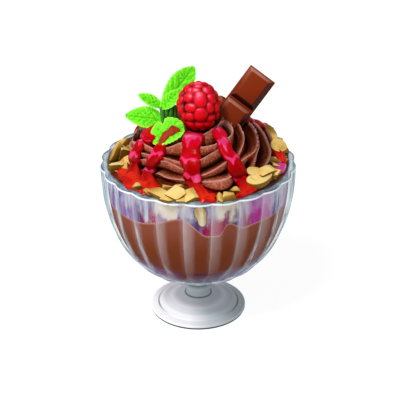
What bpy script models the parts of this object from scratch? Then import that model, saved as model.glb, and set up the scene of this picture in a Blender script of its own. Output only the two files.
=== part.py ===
"""A chocolate mousse served in its footed, fluted dessert glass.

The glass holds, from the bottom up, a little berry sauce, the chocolate mousse, a layer of
berry sauce and a heap of chopped peanuts. A piped swirl of mousse stands on the heap, with a
raspberry, a sprig of mint and a piece of a chocolate bar in it.

Units are metres and +Z is up. The origin is the middle of the glass's foot, on the table.
The front of the dessert looks along -Y.
"""

import math
import random

import bmesh
import bpy
from mathutils import Matrix, Vector

# The glass: its rim, bowl, stem and foot
RIM_RADIUS = 0.0500
RIM_HEIGHT = 0.0865
BOWL_BASE_HEIGHT = 0.0210
WALL = 0.0042
BOWL_FLOOR_HEIGHT = 0.0260
BOWL_CURVE_UP = 2.32
BOWL_CURVE_OUT = 2.40
LIP_ROUND = 0.0012
FLUTES = 22
FLUTE_DEPTH = 0.0016
SIDES_PER_FLUTE = 3
FLUTE_START = math.radians(-90) + math.pi / FLUTES
STEM_NARROW = 0.0062
STEM_TOP = 0.0078
FOOT_RADIUS = 0.0252
FOOT_EDGE = 0.0026
FOOT_STEP_RADIUS = 0.0212
FOOT_DOME_HEIGHT = 0.0088
FOOT_HOLLOW_RADIUS = 0.0205
FOOT_HOLLOW_HEIGHT = 0.0014

# What fills the glass
GAP = 0.00035
FILL_SIDES = 44
BOTTOM_SAUCE_LEVEL = 0.0325
MOUSSE_LEVEL = 0.0685
MOUSSE_HEART_LEVEL = 0.0690
SAUCE_LEVEL = 0.0775
HEAP_LEVEL = 0.0850
SEAT_LEVEL = 0.0846

# The chopped peanuts
NUT_SEED = 11
NUT_RING_HEIGHT = 0.0859
NUTS_AROUND = 28
NUT_LENGTHS = (0.0076, 0.0098)
NUT_WIDEST = 0.0072
UPPER_NUT_RISE = 0.0025
UPPER_NUT_SHARE = 0.65

# The piped swirl
SWIRL_CENTRE = Vector((0.0014, 0.0010, 0.0))
SWIRL_RADIUS = 0.0372
SWIRL_WIDEST_HEIGHT = 0.0910
SWIRL_TOP = 0.1074
SWIRL_FOOT_STEEPNESS = math.radians(-22)
SWIRL_TOP_STEEPNESS = math.radians(76)
SWIRL_FULLNESS = 0.55
SWIRL_RIDGES = 16
SWIRL_SIDES_PER_RIDGE = 5
SWIRL_ROWS = 14
SWIRL_GROOVE = 0.0048
SWIRL_SEED = 5
PEAK_TIP = Vector((0.0115, 0.0130, 0.1162))
PEAK_TWIST = math.radians(60)
PEAK_ROWS = (
    # how far the middle has moved to the tip, radius, height
    (0.16, 0.0135, 0.1082),
    (0.42, 0.0095, 0.1098),
    (0.68, 0.0068, 0.1122),
    (0.90, 0.0044, 0.1146),
)

# The sauce that runs down the swirl
DRIZZLE_THICKNESS = 0.0008
DRIZZLE_EDGE = 0.0030
DRIZZLES = (
    # angle at the top, angle at the foot, half width at the top, half width at the foot
    (-91, -88, 0.0052, 0.0056),
    (-58, -47, 0.0034, 0.0046),
    (-122, -140, 0.0030, 0.0036),
    (-160, -163, 0.0034, 0.0030),
    (62, 55, 0.0040, 0.0045),
    (115, 128, 0.0036, 0.0042),
)

# The raspberry
BERRY_CENTRE = Vector((0.0002, -0.0050, 0.1179))
BERRY_RADIUS = 0.0104
BERRY_HALF_HEIGHT = 0.0126
DRUPELET_RISE = 0.0012
DRUPELET_ROWS = ((-0.80, 7), (-0.50, 10), (-0.16, 11), (0.18, 10), (0.50, 8), (0.78, 5), (1.0, 1))
DRUPELET_WIDTH = 0.0043

# The piece of the chocolate bar
BAR_TOP = Vector((0.0326, 0.0120, 0.1283))
BAR_ALONG = Vector((0.600, 0.360, 0.714)).normalized()
BAR_ACROSS = Vector((0.800, -0.270, -0.536)).normalized()
BAR_WIDTH = 0.0153
BAR_SEGMENT = 0.0190
BAR_LENGTH = 2 * BAR_SEGMENT
BAR_SLAB = 0.0036
BAR_PAD_RISE = 0.0034
BAR_PAD_MARGIN = 0.0008
BAR_PAD_SLOPE = 0.0022

# The sprig of mint
LEAF_THICKNESS = 0.0006
LEAF_STATIONS = 9
STEM_RADIUS = 0.0011
STEM_FOOT = Vector((-0.0156, 0.0026, 0.1035))
STEM_HEAD = Vector((-0.0182, 0.0034, 0.1146))
LEAVES = (
    # where it leaves the stem, tip, way that the upper face looks, width, bulge of the middle
    (0.95, (-0.0034, 0.0152, 0.1306), (0.15, -0.89, 0.44), 0.0122, 0.0020),
    (0.92, (-0.0088, 0.0078, 0.1220), (-0.10, -0.86, 0.50), 0.0080, 0.0012),
    (0.97, (-0.0298, 0.0030, 0.1205), (0.35, -0.74, 0.57), 0.0062, 0.0012),
    (0.70, (-0.0363, 0.0010, 0.1104), (0.05, -0.66, 0.75), 0.0116, 0.0016),
    (0.50, (-0.0168, -0.0205, 0.1066), (-0.16, 0.05, 0.98), 0.0136, 0.0012),
)


def clear_scene():
    for thing in list(bpy.data.objects):
        bpy.data.objects.remove(thing)


def finish(name, colour, roughness, transmission=0.0):
    """A Principled material of one colour."""
    material = bpy.data.materials.new(name)
    material.use_nodes = True
    shader = material.node_tree.nodes["Principled BSDF"]
    shader.inputs["Base Color"].default_value = (*colour, 1.0)
    shader.inputs["Roughness"].default_value = roughness
    shader.inputs["Metallic"].default_value = 0.0
    shader.inputs["Transmission Weight"].default_value = transmission
    return material


def object_from(name, bm, material=None):
    """A new object that holds the bmesh, with its faces turned outwards."""
    bmesh.ops.recalc_face_normals(bm, faces=bm.faces)
    mesh = bpy.data.meshes.new(name)
    bm.to_mesh(mesh)
    bm.free()
    made = bpy.data.objects.new(name, mesh)
    bpy.context.scene.collection.objects.link(made)
    if material:
        mesh.materials.append(material)
        mesh.shade_smooth()
        mesh.set_sharp_from_angle(angle=math.radians(35))
    return made


def loft(rings):
    """A closed bmesh through rings of points, bottom to top. A ring of one point is a pole."""
    bm = bmesh.new()
    loops = [[bm.verts.new(point) for point in ring] for ring in rings]
    for low, high in zip(loops, loops[1:]):
        count = max(len(low), len(high))
        for i in range(count):
            j = (i + 1) % count
            corners = [low[i % len(low)], low[j % len(low)], high[j % len(high)], high[i % len(high)]]
            bm.faces.new(list(dict.fromkeys(corners)))
    return bm


def applied(thing):
    """Makes the object's modifiers part of its mesh."""
    graph = bpy.context.evaluated_depsgraph_get()
    mesh = bpy.data.meshes.new_from_object(thing.evaluated_get(graph))
    thing.modifiers.clear()
    thing.data = mesh
    return thing


def cut(thing, cutters):
    """Takes each cutter's shape out of the object."""
    for cutter in cutters:
        boolean = thing.modifiers.new("pocket", "BOOLEAN")
        boolean.operation = "DIFFERENCE"
        boolean.solver = "MANIFOLD"
        boolean.object = cutter
        applied(thing)
        bpy.data.objects.remove(cutter)
    return thing


def fuse(thing, pieces, solver="MANIFOLD"):
    """Joins the pieces to the object with one Boolean union on a collection."""
    group = bpy.data.collections.new(thing.name + "_pieces")
    for piece in pieces:
        bpy.context.scene.collection.objects.unlink(piece)
        group.objects.link(piece)
    boolean = thing.modifiers.new("fused", "BOOLEAN")
    boolean.operation = "UNION"
    boolean.operand_type = "COLLECTION"
    boolean.collection = group
    boolean.solver = solver
    applied(thing)
    for piece in pieces:
        bpy.data.objects.remove(piece)
    bpy.data.collections.remove(group)
    return thing


def polar(radius, angle, height):
    return Vector((radius * math.cos(angle), radius * math.sin(angle), height))


def bump(angle_deg, middle, half_width):
    """1 at the middle angle, falling away to 0 on both sides."""
    away = (angle_deg - middle + 180) % 360 - 180
    return math.exp(-((away / half_width) ** 2))


def bowl_curve(share):
    """The bowl's radius, as a share of the rim's, at a share of its height."""
    return (1 - (1 - share) ** BOWL_CURVE_UP) ** (1 / BOWL_CURVE_OUT)


def wall_rows(radius, floor, count):
    """(radius, height) of the bowl's rows above its floor, closer together near the bottom."""
    shares = [(i / count) ** 1.6 for i in range(1, count + 1)]
    return [(radius * bowl_curve(s), floor + s * (RIM_HEIGHT - floor)) for s in shares]


INNER_ROWS = [(0.0, BOWL_FLOOR_HEIGHT)] + wall_rows(RIM_RADIUS - WALL, BOWL_FLOOR_HEIGHT, 8)


def inner_radius(height):
    """The radius of the glass's faceted inner wall at a height."""
    for (r0, z0), (r1, z1) in zip(INNER_ROWS, INNER_ROWS[1:]):
        if height <= z1:
            return r0 + (r1 - r0) * max(0.0, height - z0) / (z1 - z0)
    return INNER_ROWS[-1][0]


def fill_radius(height):
    """The radius of what fills the glass: just clear of the wall, sideways and downwards."""
    return inner_radius(height - GAP) - GAP


def flute_dip(angle):
    """0 on the round back of a flute and 1 in the crease between two."""
    share = ((angle - FLUTE_START) / (2 * math.pi) * FLUTES) % 1.0
    return 1 - math.sin(math.pi * share)


def glass_ring(radius, height, fluted):
    sides = FLUTES * SIDES_PER_FLUTE
    ring = []
    for i in range(sides):
        angle = FLUTE_START + 2 * math.pi * i / sides
        ring.append(polar(radius - FLUTE_DEPTH * fluted * flute_dip(angle), angle, height))
    return ring


def make_glass(material):
    """Foot, stem and bowl in one piece of pressed glass, turned about Z and fluted outside."""
    foot = [
        (FOOT_HOLLOW_RADIUS, 0.0),
        (FOOT_RADIUS - 0.0008, 0.0),
        (FOOT_RADIUS, 0.0008),
        (FOOT_RADIUS - 0.0003, FOOT_EDGE),
        (FOOT_STEP_RADIUS, FOOT_EDGE + 0.0006),
        (FOOT_STEP_RADIUS - 0.0007, FOOT_EDGE + 0.0012),
        (0.0150, 0.0062),
        (0.0095, 0.0080),
        (STEM_NARROW, FOOT_DOME_HEIGHT),
        (STEM_NARROW + 0.0003, 0.0130),
        (STEM_TOP, 0.0190),
    ]
    rings = [[(0, 0, FOOT_HOLLOW_HEIGHT)]]
    rings += [glass_ring(radius, height, 0.0) for radius, height in foot]
    outer = wall_rows(RIM_RADIUS, BOWL_BASE_HEIGHT, 11)
    for radius, height in outer[:-1]:
        if radius > STEM_TOP + 0.002 and height < RIM_HEIGHT - LIP_ROUND:
            rings.append(glass_ring(radius, height, min(1.0, radius / RIM_RADIUS)))
    rings.append(glass_ring(RIM_RADIUS, RIM_HEIGHT - LIP_ROUND, 1.0))
    rings.append(glass_ring(RIM_RADIUS - LIP_ROUND, RIM_HEIGHT, 0.8))
    rings.append(glass_ring(RIM_RADIUS - WALL + LIP_ROUND, RIM_HEIGHT, 0.2))
    rings.append(glass_ring(RIM_RADIUS - WALL, RIM_HEIGHT - LIP_ROUND, 0.0))
    rings += [glass_ring(radius, height, 0.0) for radius, height in INNER_ROWS[-2:0:-1]]
    rings.append([(0, 0, BOWL_FLOOR_HEIGHT)])
    return object_from("glass", loft(rings), material)


def mousse_level(angle):
    """The wavy top of the mousse at the glass."""
    a = math.degrees(angle)
    waves = 6.6 * bump(a, -104, 11) - 4.4 * bump(a, -81, 9) + 2.6 * bump(a, -70, 5)
    waves += 1.6 * bump(a, -28, 12) + 2.8 * bump(a, 34, 15) - 3.0 * bump(a, 78, 13)
    waves += 4.2 * bump(a, 132, 14) - 1.4 * bump(a, 174, 13)
    return MOUSSE_LEVEL + 0.001 * waves


def bottom_sauce_level(angle):
    return BOTTOM_SAUCE_LEVEL + 0.0012 * math.sin(2 * angle + 0.4) + 0.0008 * math.sin(5 * angle)


def sauce_level(angle):
    return SAUCE_LEVEL + 0.0012 * math.sin(3 * angle + 1.0) + 0.0010 * math.sin(7 * angle)


def fill_ring(level, above=0.0):
    """A ring on the inside of the glass at the height that level(angle) gives."""
    ring = []
    for i in range(FILL_SIDES):
        angle = 2 * math.pi * i / FILL_SIDES
        height = level(angle) + above
        ring.append(polar(fill_radius(height), angle, height))
    return ring


def between(low, high, share):
    return lambda angle: low(angle) * (1 - share) + high(angle) * share


def make_layer(name, low, low_middle, high, high_middle, rows, material):
    """A layer between two wavy levels, out to the glass."""
    rings = [[(0, 0, low_middle)]]
    rings += [fill_ring(between(low, high, i / rows)) for i in range(rows + 1)]
    rings.append([(0, 0, high_middle)])
    return object_from(name, loft(rings), material)


def make_fillings(sauce, mousse):
    floor = BOWL_FLOOR_HEIGHT + GAP
    rings = [[(0, 0, floor)], fill_ring(lambda angle: floor + 0.0012)]
    rings += [fill_ring(between(lambda angle: floor + 0.0012, bottom_sauce_level, 0.5))]
    rings += [fill_ring(bottom_sauce_level), [(0, 0, BOTTOM_SAUCE_LEVEL)]]
    object_from("bottom_sauce", loft(rings), sauce)
    make_layer(
        "mousse",
        lambda angle: bottom_sauce_level(angle) + GAP,
        BOTTOM_SAUCE_LEVEL + GAP,
        mousse_level,
        MOUSSE_HEART_LEVEL,
        5,
        mousse,
    )
    make_layer(
        "berry_sauce",
        lambda angle: mousse_level(angle) + GAP,
        MOUSSE_HEART_LEVEL + GAP,
        sauce_level,
        SAUCE_LEVEL,
        1,
        sauce,
    )


def swirl_outline(angle):
    """The swirl's reach in each direction, as a share of SWIRL_RADIUS."""
    a = math.degrees(angle)
    return 1.0 - 0.13 * bump(a, -122, 30) - 0.03 * bump(a, 158, 30) - 0.02 * bump(a, 60, 40)


def make_nut(draw, angle, height):
    """One chopped peanut between the swirl and the glass: a squeezed ball with two flat cuts."""
    inside = swirl_reach(angle, height) + SWIRL_CENTRE.dot(polar(1, angle, 0)) + GAP
    outside = fill_radius(min(height, RIM_HEIGHT - LIP_ROUND))
    width = min(NUT_WIDEST, outside - inside - GAP)
    length = draw.uniform(*NUT_LENGTHS)
    bm = bmesh.new()
    bmesh.ops.create_icosphere(bm, subdivisions=1, radius=0.5)
    for _ in range(2):
        normal = Vector((draw.uniform(-1, 1), draw.uniform(-1, 1), draw.uniform(-1, 1))).normalized()
        place = normal * draw.uniform(0.16, 0.30)
        geometry = bm.verts[:] + bm.edges[:] + bm.faces[:]
        sliced = bmesh.ops.bisect_plane(
            bm, geom=geometry, plane_co=place, plane_no=normal, clear_outer=True
        )
        rim = [e for e in sliced["geom_cut"] if isinstance(e, bmesh.types.BMEdge)]
        bmesh.ops.contextual_create(bm, geom=rim)
    squeeze = Matrix.Diagonal((width, length, length * draw.uniform(0.6, 0.8), 1.0))
    turn = Matrix.Rotation(angle, 4, "Z") @ Matrix.Rotation(draw.uniform(-0.3, 0.3), 4, "X")
    place = Matrix.Translation(polar((inside + outside) / 2, angle, height))
    bmesh.ops.transform(bm, matrix=place @ turn @ squeeze, verts=bm.verts)
    bmesh.ops.remove_doubles(bm, verts=bm.verts, dist=0.00002)
    return object_from("nut_piece", bm)


def nut_is_clear(nut):
    """True where the nut stays off the glass and the swirl."""
    for vertex in nut.data.vertices:
        point = vertex.co
        if math.hypot(point.x, point.y) > fill_radius(min(point.z, RIM_HEIGHT - LIP_ROUND)):
            return False
        flat = point - SWIRL_CENTRE
        if math.hypot(flat.x, flat.y) < swirl_reach(math.atan2(flat.y, flat.x), point.z) + GAP:
            return False
    return True


def make_nut_heap(material):
    """The heap of chopped peanuts: a low core out to the glass, with nuts fused on it."""
    lip = SWIRL_RADIUS * math.cos(SWIRL_FOOT_STEEPNESS) ** SWIRL_FULLNESS
    seat = [polar(lip, 2 * math.pi * i / FILL_SIDES, SEAT_LEVEL) for i in range(FILL_SIDES)]

    def heap_level(angle):
        return HEAP_LEVEL + 0.0005 * math.sin(6 * angle) + 0.0004 * math.sin(11 * angle + 2)

    rings = [[(0, 0, SAUCE_LEVEL + GAP)], fill_ring(sauce_level, GAP)]
    rings += [fill_ring(between(sauce_level, heap_level, 0.5)), fill_ring(heap_level)]
    rings += [seat, [(0, 0, SEAT_LEVEL)]]
    heap = object_from("nut_heap", loft(rings), material)
    draw = random.Random(NUT_SEED)
    nuts = []
    for i in range(NUTS_AROUND):
        angle = 2 * math.pi * (i + draw.uniform(-0.2, 0.2)) / NUTS_AROUND
        for rise in (0.0, UPPER_NUT_RISE):
            # An upper nut lies on a lower one.
            if rise and draw.random() > UPPER_NUT_SHARE:
                break
            height = NUT_RING_HEIGHT + rise + draw.uniform(-0.0003, 0.0003)
            nut = make_nut(draw, angle + rise * draw.uniform(-12, 12), height)
            if nut_is_clear(nut):
                nuts.append(nut)
            else:
                bpy.data.objects.remove(nut)
                break
    print("nuts on the heap:", len(nuts))
    return fuse(heap, nuts)


def swirl_reach(angle, height):
    """The swirl's largest radius in a direction at a height."""
    rise = (height - SWIRL_WIDEST_HEIGHT) / (SWIRL_TOP - SWIRL_WIDEST_HEIGHT)
    if rise >= 1:
        return 0.0
    steep = math.asin(max(rise, math.sin(SWIRL_FOOT_STEEPNESS)))
    smooth = SWIRL_RADIUS * swirl_outline(angle) * math.cos(steep) ** SWIRL_FULLNESS
    return smooth + DRIZZLE_THICKNESS


def ridge_angle(column, share):
    """Where a column is at a share of its way up. The ridges are steeper on the swirl's right."""
    start = 2 * math.pi * column / (SWIRL_RIDGES * SWIRL_SIDES_PER_RIDGE)
    angle = start
    for _ in range(30):
        turn = 108 - 36 * bump(math.degrees(angle), 0, 80)
        angle = start + math.radians(turn) * share
    return angle


def ridge_groove(share, hollow):
    """How deep the surface lies between two ridges. Above a ridge's sharp edge a hollow falls
    away, and then the round back of the next ridge rises."""
    if share < hollow:
        return math.sin(math.pi / 2 * share / hollow)
    return 1 - ((share - hollow) / (1 - hollow)) ** 0.55


def drizzle_cover(angle, share, radius):
    """1 where a stream of sauce covers the swirl, 0 where it is bare."""
    for top, foot, top_half, foot_half in DRIZZLES:
        middle = math.radians(foot + (top - foot) * share)
        away = (angle - middle + math.pi) % (2 * math.pi) - math.pi
        half = foot_half + (top_half - foot_half) * share
        if abs(away) * radius < half:
            return 1.0
    return 0.0


def swirl_point(column, row, ridge_depths):
    """A point of the swirl: columns follow the ridges as they climb round it, rows climb."""
    share = row / SWIRL_ROWS
    steep = SWIRL_FOOT_STEEPNESS + share * (SWIRL_TOP_STEEPNESS - SWIRL_FOOT_STEEPNESS)
    angle = ridge_angle(column, share)
    radius = SWIRL_RADIUS * swirl_outline(angle) * math.cos(steep) ** SWIRL_FULLNESS
    height = SWIRL_WIDEST_HEIGHT + (SWIRL_TOP - SWIRL_WIDEST_HEIGHT) * math.sin(steep)
    place = (-column / SWIRL_SIDES_PER_RIDGE) % 1.0
    depth = SWIRL_GROOVE * min(1.0, radius / 0.024) * ridge_depths[column // SWIRL_SIDES_PER_RIDGE]
    if row == 0:
        depth *= 0.5
    inset = depth * ridge_groove(place, 0.4)
    covered = drizzle_cover(angle, share, radius)
    inset = inset * (1 - covered) - DRIZZLE_THICKNESS * covered * min(1.0, share * 6)
    radius -= inset * math.cos(steep)
    height = max(height - inset * math.sin(steep), SEAT_LEVEL + GAP)
    return SWIRL_CENTRE + polar(radius, angle, height)


def peak_ring(share, radius, height, ridge_depths):
    """A ring of the soft peak that the swirl ends in, with the ridges running out on it."""
    columns = SWIRL_RIDGES * SWIRL_SIDES_PER_RIDGE
    middle = SWIRL_CENTRE.lerp(Vector((PEAK_TIP.x, PEAK_TIP.y, 0.0)), share)
    ring = []
    for column in range(columns):
        angle = ridge_angle(column, 1.0) + PEAK_TWIST * share
        place = (-column / SWIRL_SIDES_PER_RIDGE) % 1.0
        depth = SWIRL_GROOVE * radius / 0.024 * ridge_depths[column // SWIRL_SIDES_PER_RIDGE]
        ring.append(middle + polar(radius - depth * ridge_groove(place, 0.4), angle, height))
    return ring


def berry_cutter():
    """The seat of the raspberry, a little wider than the fruit."""
    bm = bmesh.new()
    bmesh.ops.create_uvsphere(bm, u_segments=16, v_segments=10, radius=1.0)
    wide = BERRY_RADIUS + DRUPELET_RISE + GAP + 0.0002
    tall = BERRY_HALF_HEIGHT + DRUPELET_RISE + GAP + 0.0002
    shape = Matrix.Translation(BERRY_CENTRE) @ Matrix.Diagonal((wide, wide, tall, 1.0))
    bmesh.ops.transform(bm, matrix=shape, verts=bm.verts)
    return object_from("berry_seat", bm)


def bar_frame():
    """The bar's own axes: X across, Y along and up, Z out of its moulded face."""
    face = BAR_ACROSS.cross(BAR_ALONG).normalized()
    across = BAR_ALONG.cross(face)
    turn = Matrix((across, BAR_ALONG, face)).transposed().to_4x4()
    return Matrix.Translation(BAR_TOP) @ turn


def bar_cutter():
    """The slot that the bar stands in."""
    bm = bmesh.new()
    bmesh.ops.create_cube(bm, size=1.0)
    thick = BAR_SLAB + BAR_PAD_RISE + 2 * GAP
    size = Matrix.Diagonal((BAR_WIDTH + 2 * GAP, BAR_LENGTH + GAP, thick, 1.0))
    middle = Matrix.Translation((0, -(BAR_LENGTH + GAP) / 2, (BAR_PAD_RISE - BAR_SLAB) / 2))
    bmesh.ops.transform(bm, matrix=bar_frame() @ middle @ size, verts=bm.verts)
    return object_from("bar_slot", bm)


def stem_cutter():
    """The hole of the mint's stem."""
    bm = bmesh.new()
    bmesh.ops.create_cone(
        bm, cap_ends=True, segments=8, radius1=STEM_RADIUS + 0.0005, radius2=STEM_RADIUS + 0.0005, depth=0.012
    )
    along = (STEM_HEAD - STEM_FOOT).normalized()
    turn = along.to_track_quat("Z", "Y").to_matrix().to_4x4()
    place = Matrix.Translation(STEM_FOOT + along * (0.006 - GAP))
    bmesh.ops.transform(bm, matrix=place @ turn, verts=bm.verts)
    return object_from("stem_hole", bm)


def make_swirl(material):
    """The piped mousse, with the sauce that runs down it, and the pockets of what stands in it."""
    draw = random.Random(SWIRL_SEED)
    ridge_depths = [draw.uniform(0.85, 1.12) for _ in range(SWIRL_RIDGES)]
    columns = range(SWIRL_RIDGES * SWIRL_SIDES_PER_RIDGE)
    rings = [[SWIRL_CENTRE + Vector((0, 0, SEAT_LEVEL + GAP))]]
    rings += [
        [swirl_point(column, row, ridge_depths) for column in columns]
        for row in range(SWIRL_ROWS + 1)
    ]
    rings += [peak_ring(*row, ridge_depths) for row in PEAK_ROWS]
    rings.append([PEAK_TIP])
    swirl = object_from("piped_swirl", loft(rings), material)
    return cut(swirl, [berry_cutter(), bar_cutter(), stem_cutter()])


def make_raspberry(material):
    """The raspberry, tip up: a ball pushed out into rows of drupelets."""
    rows = []
    for level, count in DRUPELET_ROWS:
        ring = math.sqrt(max(0.0, 1 - level * level))
        for i in range(count):
            angle = 2 * math.pi * (i + 0.5 * (len(rows) % 2)) / count
            rows.append(Vector((ring * math.cos(angle), ring * math.sin(angle), level)))
    bm = bmesh.new()
    bmesh.ops.create_icosphere(bm, subdivisions=4, radius=1.0)
    for vertex in bm.verts:
        way = vertex.co.normalized()
        nearest = min((way - middle).length for middle in rows) * BERRY_RADIUS
        swell = math.sqrt(max(0.0, 1 - (nearest / (DRUPELET_WIDTH * 0.62)) ** 2))
        # The fruit narrows a little towards its tip.
        taper = 1 - 0.10 * max(0.0, way.z)
        wide = BERRY_RADIUS * taper + DRUPELET_RISE * swell
        tall = BERRY_HALF_HEIGHT + DRUPELET_RISE * swell
        vertex.co = BERRY_CENTRE + Vector((way.x * wide, way.y * wide, way.z * tall))
    return object_from("raspberry", bm, material)


def make_bar(material):
    """Two whole segments and the start of a third, each with a sloped pad on a thin slab."""
    half = BAR_WIDTH / 2
    bm = bmesh.new()
    bmesh.ops.create_cube(bm, size=1.0)
    slab = Matrix.Translation((0, -BAR_LENGTH / 2, -BAR_SLAB / 2))
    slab = slab @ Matrix.Diagonal((BAR_WIDTH, BAR_LENGTH, BAR_SLAB, 1.0))
    bmesh.ops.transform(bm, matrix=slab, verts=bm.verts)
    for joint in (BAR_SEGMENT, 2 * BAR_SEGMENT):
        geometry = bm.verts[:] + bm.edges[:] + bm.faces[:]
        bmesh.ops.bisect_plane(bm, geom=geometry, plane_co=(0, -joint, 0), plane_no=(0, 1, 0))
    tops = [face for face in bm.faces if face.normal.z > 0.9]
    for face in tops:
        bmesh.ops.inset_region(bm, faces=[face], thickness=BAR_PAD_MARGIN)
        bmesh.ops.inset_region(bm, faces=[face], thickness=BAR_PAD_SLOPE, depth=BAR_PAD_RISE)
    for vertex in bm.verts:
        # The back is a little narrower than the front, as it leaves the mould.
        if vertex.co.z < -BAR_SLAB / 2:
            vertex.co.x *= (half - 0.0004) / half
    bmesh.ops.transform(bm, matrix=bar_frame(), verts=bm.verts)
    return object_from("chocolate_bar", bm, material)


def leaf_half_width(share, width):
    """A pointed oval, widest before the middle, with small teeth along its edge."""
    oval = math.sin(math.pi * min(1.0, share * 0.94 + 0.05)) ** 0.75
    return max(0.0004, width / 2 * oval)


def make_leaf(place, tip, facing, width, bulge):
    """A thin, folded and curved leaf from its place on the stem to its tip."""
    base, tip = STEM_FOOT.lerp(STEM_HEAD, place), Vector(tip)
    along = tip - base
    side = along.cross(Vector(facing)).normalized()
    face = side.cross(along).normalized()
    bm = bmesh.new()
    sheets = []
    for lift in (LEAF_THICKNESS / 2, -LEAF_THICKNESS / 2):
        rows = []
        for i in range(LEAF_STATIONS):
            share = i / (LEAF_STATIONS - 1)
            half = leaf_half_width(share, width)
            spine = base + along * share + face * (bulge * math.sin(math.pi * share) + lift)
            row = []
            for across in (-1.0, -0.5, 0.0, 0.5, 1.0):
                tooth = 1.0 + (0.07 if i % 2 else -0.05) * (abs(across) == 1.0)
                fold = 0.16 * half * (1 - (1 - abs(across)) ** 2)
                ripple = 0.0004 * math.sin(6.0 * share * math.pi) * abs(across)
                row.append(bm.verts.new(spine + side * (half * across * tooth) + face * (fold + ripple)))
            rows.append(row)
        sheets.append(rows)
    top, under = sheets
    last = LEAF_STATIONS - 1
    for i in range(last):
        for j in range(4):
            for rows in (top, under):
                corners = (rows[i][j], rows[i + 1][j], rows[i + 1][j + 1], rows[i][j + 1])
                bm.faces.new((corners[0], corners[1], corners[2]))
                bm.faces.new((corners[0], corners[2], corners[3]))
        for j in (0, 4):
            bm.faces.new((top[i][j], top[i + 1][j], under[i + 1][j], under[i][j]))
    for i in (0, last):
        for j in range(4):
            bm.faces.new((top[i][j], top[i][j + 1], under[i][j + 1], under[i][j]))
    return object_from("leaf_piece", bm)


def make_mint(material):
    """The sprig: a short stem and five leaves, one piece."""
    along = STEM_HEAD - STEM_FOOT
    bm = bmesh.new()
    bmesh.ops.create_cone(
        bm, cap_ends=True, segments=8, radius1=STEM_RADIUS * 0.8, radius2=STEM_RADIUS, depth=along.length
    )
    turn = along.to_track_quat("Z", "Y").to_matrix().to_4x4()
    place = Matrix.Translation(STEM_FOOT + along / 2)
    bmesh.ops.transform(bm, matrix=place @ turn, verts=bm.verts)
    sprig = object_from("mint_sprig", bm, material)
    return fuse(sprig, [make_leaf(*leaf) for leaf in LEAVES])


def main():
    clear_scene()
    glass = finish("pressed_glass", (0.86, 0.93, 0.95), 0.03, 1.0)
    mousse = finish("chocolate_mousse", (0.20, 0.065, 0.028), 0.5)
    sauce = finish("berry_sauce", (0.42, 0.012, 0.035), 0.15)
    nuts = finish("roasted_peanut", (0.70, 0.42, 0.13), 0.5)
    berry = finish("raspberry_skin", (0.75, 0.010, 0.016), 0.25)
    bar = finish("milk_chocolate", (0.22, 0.045, 0.012), 0.3)
    mint = finish("mint_leaf", (0.13, 0.60, 0.03), 0.4)
    make_glass(glass)
    make_fillings(sauce, mousse)
    make_nut_heap(nuts)
    make_swirl(mousse)
    make_raspberry(berry)
    make_bar(bar)
    make_mint(mint)


main()
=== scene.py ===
# %% [markdown]
# # Chocolate mousse in its fluted glass
#
# This notebook dresses a chocolate mousse: a pressed glass on a foot, layers of berry sauce and
# mousse inside it, chopped peanuts up to the rim, and on top a piped swirl with red sauce, a
# raspberry, a sprig of mint and a piece of chocolate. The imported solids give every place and
# size, and each is replaced here by a finer form that keeps its outline.

# %% Load the frame
import math
import random

import bpy
import numpy as np
from mathutils import Matrix, Vector


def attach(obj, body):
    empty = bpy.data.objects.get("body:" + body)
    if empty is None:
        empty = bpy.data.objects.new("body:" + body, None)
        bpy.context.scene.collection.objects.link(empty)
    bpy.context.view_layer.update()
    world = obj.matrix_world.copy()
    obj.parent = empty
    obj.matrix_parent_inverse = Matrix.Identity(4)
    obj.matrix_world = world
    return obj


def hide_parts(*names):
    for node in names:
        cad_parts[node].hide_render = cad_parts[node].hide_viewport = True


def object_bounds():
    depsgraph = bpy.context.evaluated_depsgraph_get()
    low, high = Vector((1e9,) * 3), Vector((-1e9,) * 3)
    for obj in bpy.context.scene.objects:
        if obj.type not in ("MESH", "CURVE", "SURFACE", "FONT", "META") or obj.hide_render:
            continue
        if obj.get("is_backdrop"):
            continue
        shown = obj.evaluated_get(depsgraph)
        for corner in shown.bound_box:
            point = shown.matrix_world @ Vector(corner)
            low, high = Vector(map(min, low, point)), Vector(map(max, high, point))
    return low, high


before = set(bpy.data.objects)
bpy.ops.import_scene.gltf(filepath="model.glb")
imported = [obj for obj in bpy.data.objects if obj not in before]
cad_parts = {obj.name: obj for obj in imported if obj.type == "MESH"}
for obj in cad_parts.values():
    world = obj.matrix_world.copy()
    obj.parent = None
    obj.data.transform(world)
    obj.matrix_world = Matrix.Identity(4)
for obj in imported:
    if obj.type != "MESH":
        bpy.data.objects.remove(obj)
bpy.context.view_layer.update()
print("nodes:", ", ".join(sorted(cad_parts)))

# %% [markdown]
# ## Camera
#
# The photo looks down on the dessert from the front, from about 60 cm away, with a long lens, so
# the rim is a flat ellipse and the verticals hardly converge. The camera goes in first, because
# every later choice of detail depends on how large a millimetre shows.

# %% Place the camera
MM = 0.001
CAMERA_RISE = math.radians(26.74)
CAMERA_DISTANCE = 619.7 * MM
CAMERA_AIM = Vector((0.93 * MM, 0.0, 63.45 * MM))
CAMERA_LENS = 108.0

camera_data = bpy.data.cameras.new("camera")
camera_data.lens = CAMERA_LENS
camera = bpy.data.objects.new("camera", camera_data)
bpy.context.scene.collection.objects.link(camera)
away = Vector((0.0, -math.cos(CAMERA_RISE), math.sin(CAMERA_RISE)))
camera.location = CAMERA_AIM + CAMERA_DISTANCE * away
camera.rotation_euler = (math.pi / 2 - CAMERA_RISE, 0.0, 0.0)
bpy.context.scene.camera = camera
print("camera is", round(CAMERA_DISTANCE / MM), "mm from the dessert")

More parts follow.
